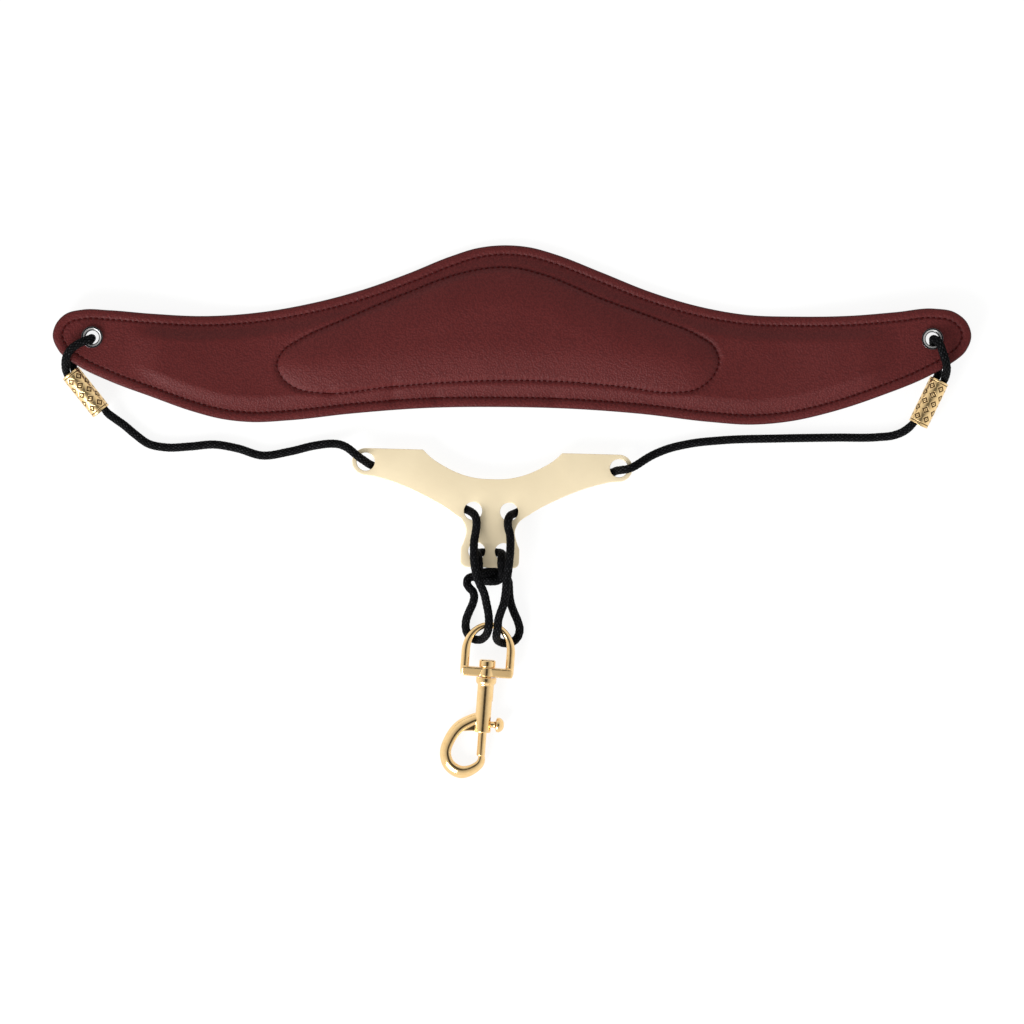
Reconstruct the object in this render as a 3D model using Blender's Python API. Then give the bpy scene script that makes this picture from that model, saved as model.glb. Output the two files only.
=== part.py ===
"""Saxophone neck strap, laid flat on a table with its front side up.

X runs across the strap, Y from the hook up to the neck pad, and Z up from the table. Every size here is in
millimetres, and MM turns it into Blender's metres where a mesh, a curve or an empty is made.
"""

import math

import bmesh
import bpy
import numpy as np
from mathutils import Euler, Matrix, Vector
from mathutils.geometry import delaunay_2d_cdt

MM = 0.001
GAP = 0.3  # clearance between pieces that touch

# The neck pad, sewn from two leathers over foam. Outlines run clockwise from the left end.
PAD_OUTLINE = [
    (-210, 81), (-208.5, 86), (-204.5, 90.3), (-196, 92.6), (-184.5, 92.3), (-166, 90.8), (-141, 89.7),
    (-115.5, 91.5), (-92.5, 95.5), (-69.5, 101.5), (-47, 109.5), (-28.5, 117), (-15.5, 121), (-4, 122.2),
    (8.5, 121.2), (20, 118), (40.5, 110), (63.5, 100.8), (86, 94.1), (107, 90.4), (130, 89.5), (155, 89.8),
    (175.5, 91.4), (193, 93), (202.5, 91.3), (208, 86.7), (210, 80.5), (207.5, 73.6), (201, 68), (190, 61.8),
    (169.5, 53.4), (146.5, 45.8), (127.5, 41.5), (109, 40), (91, 41.2), (58.5, 45), (26.5, 47.3),
    (-5.5, 48.1), (-37.5, 47.7), (-74.5, 45), (-102, 42), (-120, 41.2), (-133, 42.6), (-146.5, 46.1),
    (-165, 52.7), (-184, 59.8), (-199, 67.1), (-207, 73.4),
]
PANEL_OUTLINE = [
    (-107.7, 67.5), (-105, 73.5), (-97, 79), (-76, 88.5), (-48.5, 100.2), (-24.5, 109), (-10.5, 111.7),
    (1, 111.8), (13, 109), (42.5, 97), (65.5, 88.6), (85.5, 80.5), (92, 76), (94.7, 69.5), (91.7, 61.6),
    (84.5, 56.1), (74.5, 54.6), (50, 57.3), (22, 59.6), (-6, 60.1), (-33.5, 59), (-56.5, 57.1), (-88, 54.4),
    (-98.5, 56.4), (-105, 61),
]
BACK_LEATHER = 1.5
FRONT_LEATHER = 1.2
FOAM_SHEET = 1.8
FOAM_END = 158  # the foam stops this far from the middle, and the ends are leather alone
FADE_LENGTH = 20  # over which the front leather comes down past the foam's end
RIM_SEAM_INSET = 4.3
RIM_ROLL = 0.5  # how far the leather swells between the edge and the rim seam
EDGE_ROUND = 0.4
FIELD_SWELL = 0.6  # of the leather between the two seams, over its seams
CHANNEL = 2.4  # half the width of a sewn channel
CROWN_RISE = 4.0
CROWN_RUN = 18
CUSHION_INSET = 5
CUSHION_SLACK = 0.9  # under the front leather's crown
LATTICE = 11  # spacing of the points inside the pad's seams
THREAD = 0.7
THREAD_RISE = 0.9  # of a thread's middle over its channel
END_LIFT = 6.0  # the cord behind each end holds it this far off the table
LIFT_START = 108
LIFT_END = 182
LIFT_STEP = 11  # the longest step between points where the pad rises
PAD_TURN = 18  # degrees between two points of the pad's outlines
PAD_STEP = 24

# Eyelets: a barrel with a flange on the front and a washer behind
EYELET_BORE = 6.3
EYELET_WALL = 0.5
FLANGE_WIDTH = 1.25
FLANGE_HEIGHT = 0.9
WASHER_WIDTH = 1.2
WASHER_THICKNESS = 0.4
EYELET_LIP = 0.15  # of the barrel below its washer
EYELET_PINCH = 6  # how far round its flange an eyelet draws the padded leather down
EYELET_SIDES = 20
EYELETS = {"left": (-191.9, 79.9), "right": (192.2, 79.1)}

# Cord, one long piece on the real strap, drawn in stretches that meet end to end
CORD = 3.9
CORD_PINCHED = 3.5  # where two strands share a ferrule
CORD_TURN = 30
CORD_STEP = 12.5

# Ferrules: gold tubes on the table that hold each end loop shut. A place is the top's middle, and a heading
# is taken from +X.
FERRULE_LENGTH = 22.3
FERRULE_WALL = 0.65
FERRULE_CHAMFER = 0.25
FERRULE_SIDES = 20
FERRULE_HEIGHT = 5.0  # of its middle over the table
FERRULES = {"left": ((-202.0, 63.6), -51.5), "right": ((195.6, 60.15), -116.0)}
DEAD_END = 1.5  # the cut end's depth inside the ferrule's lower mouth
GRIP = (1, 4)  # how far inside each mouth the strands run straight

# V plate, in its own frame: the outer holes lie on its X axis, and it is the same left and right
PLATE_PLACE = (-9.0, 21.55)
PLATE_TURN = -1.5
PLATE_THICKNESS = 1.8
PLATE_UNDERSIDE = 5.0
PLATE_HOLE = 8.3
TAB_HOLE = 7.8
OUTER_HOLE_X = 57.95
OUTER_HOLE_RIM = 6.2
UPPER_HOLE = (8.25, -21.25)
LOWER_HOLE = (6.1, -39.55)
PLATE_NOTCH = [(31.8, 6.2), (27.6, 2.3), (22.4, -0.9), (16.6, -3.7), (8.7, -5.95), (0, -6.5)]
PLATE_UNDERCUT = [(54, -6.6), (44, -9.4), (31, -14.8), (18, -22.1), (12.6, -26.4), (11.1, -30.5),
                  (11.9, -34.6), (13.4, -38.2)]
TAB_WIDTH = 26.8
TAB_END = -47
TAB_CORNER = 2.6
HOLE_SIDES = 24
RIM_POINTS = 13  # round the plate's end, at an outer hole
CORNER_POINTS = 4
PLATE_BEND = 12  # degrees between two points of the plate's outline

# Snap hook, in its own frame: Y runs up the stem, X to the right, and the swivel's seat is at the origin
HOOK_PLACE = (-11.7, -75.4)
HOOK_LEAN = -4.2
HOOK_TILT = 3.6
EYE_WIRE = 3.8
EYE_HALF_WIDTH = 10.3
EYE_LEG = 11.6
EYE_ARCH = 12.2
EYE_BASE = 4.4
EYE_BASE_DEPTH = 7.2
EYE_BASE_ROUND = 1.2
EYE_SIDES = 10
EYE_POINTS = 15  # round the eye's arch
RIVET_SHANK = 4.0
RIVET_HEAD = 7.6
RIVET_HEAD_HEIGHT = 3.4
RIVET_DEPTH = 3.6
COLLAR = 9.4
COLLAR_HEIGHT = 3.0
BARREL = 7.5
BARREL_END = -25.5
ARM_PATH = [(-2.2, -18.7), (-6.4, -20.7), (-10.4, -23.4), (-14.6, -29.6), (-16.2, -36.2), (-14.2, -41.5),
            (-8.6, -44.5), (-2.9, -42.6), (0.1, -39.5), (0.5, -37.2)]
ARM_RADIUS = [2.3, 2.5, 2.6, 2.6, 2.6, 2.9, 3.05, 2.4, 1.95, 1.6]
ARM_SIDES = 12
ARM_BEND = 14  # degrees between two points of the arm
WEB = [(-1.5, -17.5), (-10, -23.4), (-8.8, -25.4), (-1.5, -25.4)]
WEB_THICKNESS = 3.0
BOLT = 3.9
BOLT_TOP = -19.4
BOLT_TIP = -36.6
BOLT_TRAVEL = 9
BOLT_CHAMFER = 0.3
KNOB_HEIGHT = -21.7
KNOB_NECK = 2.8
KNOB_HEAD = 6.8
KNOB_HEAD_START = 5.9
KNOB_HEAD_END = 9.6
KNOB_DOME = 1.1
BORE_TOP = -6.6
ROUND_SIDES = 24
CUT_REACH = 1  # how far a cut stands out past what it cuts

# Bolt spring
SPRING_WIRE = 0.5
SPRING_WIDTH = 3.9  # over the wire
SPRING_TURNS = 6
SPRING_POINTS = 9  # in a turn

# Cord routes, chosen by eye along the cord's middle, each from the pad towards the hook. The last point of
# each is where it meets the next stretch.
LEFT_LOOP = [
    (-203.9, 64.3, 6.2), (-204.1, 66.6, 8.7), (-203.9, 69.2, 10.9), (-203.1, 71.7, 12.3), (-201.4, 74.2, 13),
    (-198.7, 76.3, 13.3), (-196.2, 77.6, 13.3), (-194.1, 78.5, 12.9), (-192.7, 79.1, 11.4), (-192.3, 79.4, 8.8),
    (-192.3, 79.5, 6), (-192.9, 78.9, 3.7), (-194.6, 77.2, 2.4), (-198, 73.8, 2.3), (-200.2, 71, 2.5),
    (-201, 68.3, 3.5), (-200.75, 66.2, 4.5),
]
RIGHT_LOOP = [
    (197.9, 60.7, 6.2), (198.4, 62.9, 8.7), (198.6, 65.2, 11.1), (198.2, 68, 12.5), (197.4, 70.7, 13.1),
    (196.5, 73.3, 13.3), (195.7, 75.7, 13.3), (194.5, 77.7, 12.9), (193.2, 78.8, 11.4), (192.7, 79, 8.8),
    (192.7, 78.8, 6), (192.9, 77.8, 3.7), (193.2, 75.6, 2.4), (193.7, 71.2, 2.3), (194.6, 67.4, 2.4),
    (195.2, 64.9, 3.1), (194.9, 62.7, 4.2),
]
LEFT_SIDE = [
    (-185.2, 45.4, 4.6), (-182, 42.9, 3.2), (-177.7, 39.8, 2.3), (-172.7, 35.6, 2.2), (-166.4, 31.2, 2.2),
    (-158.6, 29.6, 2.2), (-147.6, 30, 2.2), (-136.2, 30.9, 2.2), (-125.6, 29.1, 2.2), (-114.6, 25.9, 2.2),
    (-101.8, 27.7, 2.2), (-89.9, 30.5, 2.3), (-82.5, 31.3, 2.8), (-79.7, 31.1, 3.6),
]
RIGHT_SIDE = [
    (181.9, 38.8, 3.9), (179, 36.7, 2.8), (174.8, 35.1, 2.3), (167.8, 34.3, 2.2), (148.6, 34.1, 2.2),
    (122.9, 33.7, 2.2), (95.4, 32.8, 2.2), (81.6, 31.3, 2.3), (70.2, 28.5, 2.6), (63.2, 25.4, 3.9),
]
LEFT_PLATE = [
    (-76.6, 30.1, 5.7), (-74.3, 28.7, 7.8), (-71.4, 26.3, 9.2), (-69.4, 24.7, 8.9), (-67.9, 23.7, 7.5),
    (-66.8, 22.9, 5.9), (-65.8, 22.2, 4.1), (-64.1, 21.3, 2.7), (-61.7, 20, 2.2), (-51.4, 15.5, 2.2),
    (-37.6, 9.2, 2.2), (-26.9, 4.1, 2.2), (-23.7, 2.5, 2.2), (-21.5, 1.4, 2.7), (-19.7, 0.6, 4.1),
    (-18.5, -0.1, 5.9), (-17.4, -1, 7.5), (-16.4, -3, 8.9), (-16.2, -5.9, 9.2), (-16.7, -9.8, 9.4),
]
RIGHT_PLATE = [
    (60.4, 23.7, 5.7), (57.8, 22, 7.8), (55, 20.4, 9.2), (52.3, 19.5, 9.1), (50.5, 19.3, 7.7),
    (49.2, 19.1, 5.9), (47.9, 18.9, 4.1), (46.2, 18.2, 2.7), (43.3, 17.5, 2.2), (31.2, 13, 2.2),
    (17.4, 7.2, 2.2), (7.3, 2.5, 2.2), (3.9, 0.6, 2.2), (1.9, -0.4, 2.7), (0.2, -1.1, 4.1),
    (-0.6, -1.5, 5.8), (-1.1, -2.1, 7.7), (-1.8, -3.9, 9.1), (-1.8, -6.7, 9.2), (-1, -9.8, 9.4),
]
LEFT_STRAND = [
    (-17.3, -13.5, 10.5), (-17.4, -17.7, 12.3), (-17.3, -22.2, 13.5), (-16.5, -27.3, 13.6),
    (-14.9, -32.3, 13.2), (-12.8, -36.9, 12.5), (-11.6, -42, 12), (-10.75, -46.5, 11.8),
    (-10.5, -49.7, 11.8), (-10.65, -52.6, 11.6), (-11.3, -55.2, 9.9), (-12.6, -57.2, 6.9),
    (-14.9, -58.5, 3.8), (-17.8, -58.1, 2.4), (-20.2, -56, 2.4), (-21.2, -52.8, 2.8), (-21, -49.5, 3.5),
    (-19.6, -45.6, 4.2), (-17.9, -41.7, 4.6), (-17.3, -38.6, 4.6), (-17.9, -36.4, 4.4), (-19.5, -34.7, 4.1),
    (-20.6, -32.6, 3.6), (-20, -30.5, 3), (-18.1, -29.7, 2.6), (-15.6, -30.4, 2.3), (-12.7, -31.3, 2.4),
    (-9.3, -31.5, 3.9), (-6.3, -31.1, 5.8), (-4.6, -29.4, 7.7), (-4.4, -27.3, 9.1), (-4.7, -25.3, 9.4),
    (-4.9, -23.5, 9.4),
]
RIGHT_STRAND = [
    (-0.7, -13.5, 10.5), (-0.8, -17.7, 12.3), (-1.2, -22.2, 13.5), (-1.8, -27.3, 13.6), (-2.5, -32.3, 13.2),
    (-2.9, -36.9, 12.5), (-3.8, -42, 12), (-5.4, -46.5, 11.8), (-6.3, -49.7, 11.9), (-6.5, -52.8, 11.8),
    (-7, -55.4, 10.8), (-7, -57.9, 7.4), (-5.5, -59.5, 4), (-2.8, -60.2, 2.5), (0.1, -59.6, 2.4),
    (2.5, -57.4, 2.4), (3.5, -54, 2.8), (2.7, -50.2, 3.3), (1, -46.2, 3.7), (-0.5, -42, 4), (-1.2, -38, 3.9),
    (-1.4, -34.4, 3.4), (-1.8, -31.4, 2.8), (-3.3, -29.2, 2.4), (-6.1, -27.9, 2.3), (-9.4, -27.5, 2.9),
    (-12.1, -27.7, 4.9), (-14.1, -27.8, 7.3), (-15, -26.7, 8.9), (-15.1, -25.2, 9.4), (-15.1, -23.5, 9.4),
]
LOWER_BRIDGE = [
    (-4.8, -21.6, 9.2), (-4.7, -20, 7.9), (-4.6, -19.1, 5.9), (-5.5, -18.7, 3.9), (-7.8, -18.5, 2.5),
    (-10.4, -18.4, 2.2), (-13, -18.5, 2.5), (-15.1, -18.6, 3.9), (-15.9, -18.9, 5.9), (-15.7, -19.9, 7.9),
    (-15.3, -21.5, 9.2),
]

# Heights in the pad's stack, and sizes that follow from the ones above
RIM_UNDERSIDE = BACK_LEATHER + GAP
RIM_TOP = RIM_UNDERSIDE + FRONT_LEATHER
FOAM_TOP = RIM_UNDERSIDE + FOAM_SHEET
PANEL_SEAM_TOP = FOAM_TOP + GAP + FRONT_LEATHER
FIELD_TOP = PANEL_SEAM_TOP + FIELD_SWELL
EYELET_BARREL = EYELET_BORE + 2 * EYELET_WALL
EYELET_HOLE = EYELET_BARREL + 2 * GAP
FLANGE_RADIUS = EYELET_BARREL / 2 + FLANGE_WIDTH
STRAND_OFFSET = (CORD_PINCHED + GAP) / 2
FERRULE_BORE = 2 * (STRAND_OFFSET + CORD_PINCHED / 2 + GAP)
BORE = BOLT + 2 * GAP
PIVOT_BORE = RIVET_SHANK + 2 * GAP


def smooth_line(points, closed=False, steps=24):
    """A dense smooth line through points: each span is a cubic, and its slope at a point is that of the
    parabola through the point and its two neighbours."""
    p = np.array(points, float)
    if closed:
        p = np.vstack([p[-1], p, p[0], p[1]])
    length = np.linalg.norm(np.diff(p, axis=0), axis=1)
    chord = np.diff(p, axis=0) / length[:, None]
    slope = np.zeros_like(p)
    before, after = length[:-1, None], length[1:, None]
    slope[1:-1] = (chord[:-1] * after + chord[1:] * before) / (before + after)
    slope[0] = 2 * chord[0] - slope[1]
    slope[-1] = 2 * chord[-1] - slope[-2]
    t = np.linspace(0, 1, steps, endpoint=False)[:, None]
    spans = []
    for i in range(1 if closed else 0, len(p) - (2 if closed else 1)):
        start = (1 + 2 * t) * (1 - t) ** 2 * p[i] + t * (1 - t) ** 2 * length[i] * slope[i]
        end = t * t * (3 - 2 * t) * p[i + 1] - t * t * (1 - t) * length[i] * slope[i + 1]
        spans.append(start + end)
    return np.vstack(spans if closed else spans + [p[-1:]])


def thinned(line, longest, turn, closed=False):
    """Points of a dense line, so that a step is at most longest and turns by at most turn degrees."""
    loop = np.vstack([line, line[:1]]) if closed else line
    steps = np.diff(loop, axis=0)
    length = np.linalg.norm(steps, axis=1)
    heading = steps / length[:, None]
    bend = np.degrees(np.arccos(np.clip((heading[:-1] * heading[1:]).sum(1), -1, 1)))
    bend = np.concatenate([[0], bend])
    measure = np.concatenate([[0], np.cumsum(length / longest + bend / turn)])
    at = np.linspace(0, measure[-1], math.ceil(measure[-1]) + 1)
    picked = np.stack([np.interp(at, measure, loop[:, k]) for k in range(loop.shape[1])], axis=1)
    return picked[:-1] if closed else picked


def inset(loop, distance):
    """A clockwise loop moved inwards, or outwards where the distance is negative."""
    ahead, behind = np.roll(loop, -1, axis=0) - loop, loop - np.roll(loop, 1, axis=0)
    ahead = ahead / np.linalg.norm(ahead, axis=1)[:, None]
    behind = behind / np.linalg.norm(behind, axis=1)[:, None]
    along = ahead + behind
    along = along / np.linalg.norm(along, axis=1)[:, None]
    inwards = np.stack([along[:, 1], -along[:, 0]], axis=1)
    return loop + inwards * distance / (along * ahead).sum(1)[:, None]


def circle(center, radius, sides):
    """Points of a circle, clockwise."""
    turn = -2 * math.pi * np.arange(sides) / sides
    return np.array(center) + radius * np.stack([np.cos(turn), np.sin(turn)], axis=1)


def away(points, loop):
    """How far each point is from a closed loop's line."""
    start, step = loop, np.roll(loop, -1, axis=0) - loop
    to = points[:, None] - start[None]
    share = np.clip((to * step).sum(2) / (step * step).sum(1), 0, 1)
    return np.linalg.norm(to - share[:, :, None] * step, axis=2).min(1)


def inside(points, loop):
    """Whether each point lies in a closed loop."""
    x, y = points[:, 0, None], points[:, 1, None]
    x1, y1 = loop[:, 0], loop[:, 1]
    x2, y2 = np.roll(x1, -1), np.roll(y1, -1)
    spans = (y1 > y) != (y2 > y)
    rise = np.where(y2 == y1, 1, y2 - y1)
    return (spans & (x < x1 + (y - y1) / rise * (x2 - x1))).sum(1) % 2 == 1


def ease(t):
    """A smooth step from 0 to 1."""
    t = np.clip(t, 0, 1)
    return t * t * (3 - 2 * t)


def new_object(name, data, material=None, parent=None):
    item = bpy.data.objects.new(name, data)
    bpy.context.scene.collection.objects.link(item)
    item.parent = parent
    if material:
        data.materials.append(material)
    return item


def mesh_object(name, points, faces, material=None, parent=None):
    """A mesh object from points in millimetres, with its faces turned outwards."""
    mesh = bpy.data.meshes.new(name)
    mesh.from_pydata([Vector(p) * MM for p in points], [], faces)
    shape = bmesh.new()
    shape.from_mesh(mesh)
    bmesh.ops.recalc_face_normals(shape, faces=shape.faces)
    shape.to_mesh(mesh)
    shape.free()
    mesh.shade_smooth()
    mesh.set_sharp_from_angle(angle=math.radians(35))
    return new_object(name, mesh, material, parent)


def frame(name, place, turn=(0, 0, 0), parent=None):
    """An empty that carries pieces: its place is in millimetres and its turn in degrees."""
    empty = new_object(name, None, parent=parent)
    empty.location = Vector(place) * MM
    empty.rotation_euler = Euler([math.radians(a) for a in turn], "XYZ")
    return empty


def triangles(loops, holes=(), inner=()):
    """Points and triangles that fill the first loop, keep every loop's edges and leave the holes open."""
    points, edges = [], []
    for loop in [*loops, *holes]:
        first = len(points)
        points += [Vector(p) for p in loop]
        edges += [(first + i, first + (i + 1) % len(loop)) for i in range(len(loop))]
    points += [Vector(p) for p in inner]
    corners, _, faces, *_ = delaunay_2d_cdt(points, edges, [], 0, 1e-5)
    flat = np.array([tuple(c) for c in corners])
    middle = flat[np.array(faces)].mean(1)
    keep = inside(middle, np.array(loops[0]))
    for hole in holes:
        keep &= ~inside(middle, np.array(hole))
    faces = [f for f, kept in zip(faces, keep) if kept]
    used = sorted({i for f in faces for i in f})
    place = {old: new for new, old in enumerate(used)}
    return flat[used], [tuple(place[i] for i in f) for f in faces]


def sheet(name, flat, faces, low, high, material, parent=None):
    """A closed solid between two heights, given for each point of a flat triangulation."""
    count = len(flat)
    points = np.vstack([np.column_stack([flat, high]), np.column_stack([flat, low])])
    used = {(f[i], f[(i + 1) % 3]) for f in faces for i in range(3)}
    rim = [(a, b) for a, b in used if (b, a) not in used]
    walls = [(a, a + count, b + count, b) for a, b in sorted(rim)]
    under = [tuple(i + count for i in reversed(f)) for f in faces]
    return mesh_object(name, points, faces + under + walls, material, parent)


def turned(name, profile, sides, material=None, parent=None, closed=False):
    """A solid turned about Y from (radius, y) points; a closed profile makes a ring."""
    points, rows = [], []
    for radius, y in profile:
        spin = 2 * math.pi * np.arange(sides if radius else 1) / sides
        rows.append(list(range(len(points), len(points) + len(spin))))
        points += [(radius * math.cos(a), y, radius * math.sin(a)) for a in spin]
    faces = []
    pairs = list(zip(rows, rows[1:] + rows[:1])) if closed else list(zip(rows, rows[1:]))
    for a, b in pairs:
        for i in range(sides):
            j = (i + 1) % sides
            corners = (a[i % len(a)], a[j % len(a)], b[j % len(b)], b[i % len(b)])
            faces.append(tuple(dict.fromkeys(corners)))
    if not closed:
        faces += [tuple(row) for row in (rows[0], rows[-1]) if len(row) > 1]
    return mesh_object(name, points, faces, material, parent)


def swept(name, line, radii, sides, material=None, parent=None):
    """A round bar along a line in the XY plane, with flat ends."""
    line = np.array(line, float)
    along = np.gradient(line, axis=0)
    along = along / np.linalg.norm(along, axis=1)[:, None]
    across = np.stack([along[:, 1], -along[:, 0]], axis=1)
    spin = 2 * math.pi * (np.arange(sides) + 0.5) / sides
    points = []
    for middle, side, radius in zip(line, across, radii):
        for a in spin:
            reach = side * radius * math.cos(a)
            points.append((middle[0] + reach[0], middle[1] + reach[1], radius * math.sin(a)))
    faces = [tuple(range(sides)), tuple(range(len(points) - sides, len(points)))]
    for i in range(len(line) - 1):
        for j in range(sides):
            k = (j + 1) % sides
            faces.append((i * sides + j, i * sides + k, (i + 1) * sides + k, (i + 1) * sides + j))
    return mesh_object(name, points, faces, material, parent)


def box(name, low, high, rounding=0, parent=None):
    """A box between two corners, with its long edges rounded where a rounding is given."""
    shape = bmesh.new()
    size = Vector(high) - Vector(low)
    middle = (Vector(high) + Vector(low)) / 2
    matrix = Matrix.Translation(middle * MM) @ Matrix.Diagonal((*(size * MM), 1))
    bmesh.ops.create_cube(shape, size=1, matrix=matrix)
    if rounding:
        edges = list(shape.edges)
        bmesh.ops.bevel(shape, geom=edges, offset=rounding * MM, segments=2, profile=0.5, affect="EDGES")
    mesh = bpy.data.meshes.new(name)
    shape.to_mesh(mesh)
    shape.free()
    return new_object(name, mesh, parent=parent)


def combine(item, other, operation):
    """Joins or cuts an object with another one, which then only guides it."""
    other.hide_render = True
    other.display_type = "WIRE"
    change = item.modifiers.new(other.name, "BOOLEAN")
    change.operation = operation
    change.solver = "EXACT"
    change.object = other


def tube(name, points, diameter, material, resolution=2, closed=False, widths=None):
    """A tube along points in millimetres, with a share of its width at each of them."""
    curve = bpy.data.curves.new(name, "CURVE")
    curve.dimensions = "3D"
    curve.bevel_depth = diameter / 2 * MM
    curve.bevel_resolution = resolution
    curve.use_fill_caps = True
    spline = curve.splines.new("POLY")
    spline.points.add(len(points) - 1)
    for i, place in enumerate(points):
        spline.points[i].co = (*(Vector(place) * MM), 1)
        spline.points[i].radius = 1 if widths is None else widths[i]
    spline.use_cyclic_u = closed
    return new_object(name, curve, material)


def material(name, color, roughness, metallic=0):
    """A plain shader with the piece's colour."""
    made = bpy.data.materials.new(name)
    made.use_nodes = True
    shader = made.node_tree.nodes["Principled BSDF"]
    shader.inputs["Base Color"].default_value = (*color, 1)
    shader.inputs["Roughness"].default_value = roughness
    shader.inputs["Metallic"].default_value = metallic
    return made


def make_materials():
    return {
        "leather": material("burgundy_leather", (0.12, 0.022, 0.024), 0.55),
        "backing": material("backing_leather", (0.09, 0.02, 0.022), 0.7),
        "foam": material("foam", (0.16, 0.16, 0.17), 0.9),
        "thread": material("thread", (0.05, 0.008, 0.01), 0.7),
        "gunmetal": material("gunmetal", (0.12, 0.12, 0.13), 0.3, 1),
        "gold": material("gold", (0.83, 0.58, 0.24), 0.25, 1),
        "plate_gold": material("pale_gold", (0.88, 0.76, 0.52), 0.4, 1),
        "cord": material("cord", (0.012, 0.012, 0.014), 0.75),
        "steel": material("spring_steel", (0.5, 0.5, 0.52), 0.35, 1),
    }


def pad_lift(x):
    """The height of the pad's back over the table: flat in the middle and raised at both ends."""
    return END_LIFT * ease((np.abs(x) - LIFT_START) / (LIFT_END - LIFT_START))


def leather_top(flat, edge, panel):
    """The front leather's height over the pad's back: a rolled rim, a padded field and the crowned panel
    between sewn channels. Past the foam and at the eyelets it comes down to the thin ends."""
    from_edge = away(flat, edge)
    from_panel = away(flat, panel)
    rim = np.clip(from_edge / RIM_SEAM_INSET, 0, 1)
    height = RIM_TOP + RIM_ROLL * np.sin(math.pi * rim) - EDGE_ROUND * (1 - rim) ** 4
    field = ease((from_edge - RIM_SEAM_INSET) / CHANNEL)
    padded = 1 - ease((np.abs(flat[:, 0]) - FOAM_END - GAP) / FADE_LENGTH)
    for place in EYELETS.values():
        from_flange = np.linalg.norm(flat - place, axis=1) - FLANGE_RADIUS - GAP
        padded *= ease(from_flange / EYELET_PINCH)
    dip = FIELD_SWELL * (1 - ease(from_panel / CHANNEL))
    crown = CROWN_RISE * np.sin(math.pi / 2 * np.clip(from_panel / CROWN_RUN, 0, 1))
    height += field * padded * (FIELD_TOP - RIM_TOP - dip)
    return height + np.where(inside(flat, panel), crown, 0)


def lattice(loop, clear_of, spacing):
    """Points on a square lattice in a loop, half a spacing or more from its edge and from the others."""
    low, high = np.floor(loop.min(0) / spacing), np.ceil(loop.max(0) / spacing)
    columns = np.arange(low[0], high[0] + 1)
    rows = np.arange(low[1], high[1] + 1)
    points = spacing * np.array([(x, y) for x in columns for y in rows])
    keep = inside(points, loop)
    for other in [loop, *clear_of]:
        keep &= away(points, other) > spacing / 2
    return points[keep]


def add_pad(materials):
    line = smooth_line(PAD_OUTLINE, True)
    edge = thinned(line, np.where(np.abs(line[:, 0]) > LIFT_START, LIFT_STEP, PAD_STEP), PAD_TURN, True)
    panel = thinned(smooth_line(PANEL_OUTLINE, True), PAD_STEP, PAD_TURN, True)
    rim_seam = inset(edge, RIM_SEAM_INSET)
    field = inset(edge, RIM_SEAM_INSET + CHANNEL)
    holes = [circle(place, EYELET_HOLE / 2, EYELET_SIDES) for place in EYELETS.values()]
    clamped = [circle(place, FLANGE_RADIUS + GAP, EYELET_SIDES) for place in EYELETS.values()]

    rings = [edge, inset(edge, RIM_SEAM_INSET / 2), rim_seam, field]
    rings += [inset(panel, -CHANNEL), panel, inset(panel, CHANNEL), inset(panel, CROWN_RUN / 2)]
    between = lattice(field, [rings[4], *clamped], LATTICE)
    between = between[~inside(between, panel)]
    inner = np.vstack([between, lattice(rings[-1], [], LATTICE)])
    flat, faces = triangles(rings + clamped, holes, inner)
    top = leather_top(flat, edge, panel)
    lift = pad_lift(flat[:, 0])
    under = np.maximum(top - FRONT_LEATHER, RIM_UNDERSIDE)
    sheet("front_leather", flat, faces, lift + under, lift + top, materials["leather"])

    flat, faces = triangles(rings[:4], holes, lattice(field, holes, LATTICE))
    lift = pad_lift(flat[:, 0])
    sheet("back_leather", flat, faces, lift, lift + BACK_LEATHER, materials["backing"])

    foam_edge = inset(edge, RIM_SEAM_INSET + CHANNEL + GAP)
    foam_edge = foam_edge[np.abs(foam_edge[:, 0]) < FOAM_END]
    flat, faces = triangles([foam_edge], (), lattice(foam_edge, [], LATTICE))
    lift = pad_lift(flat[:, 0])
    sheet("foam_sheet", flat, faces, lift + RIM_UNDERSIDE, lift + FOAM_TOP, materials["foam"])

    cushion_edge = inset(panel, CUSHION_INSET)
    flat, faces = triangles([cushion_edge], (), lattice(cushion_edge, [], LATTICE))
    high = leather_top(flat, edge, panel) - FRONT_LEATHER - CUSHION_SLACK
    sheet("centre_cushion", flat, faces, np.full(len(flat), FOAM_TOP + GAP), high, materials["foam"])

    for name, seam in (("rim_seam_thread", rim_seam), ("centre_seam_thread", panel)):
        height = pad_lift(seam[:, 0]) + leather_top(seam, edge, panel) + THREAD_RISE
        points = np.column_stack([seam, height])
        tube(name, points, THREAD, materials["thread"], resolution=0, closed=True)


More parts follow.
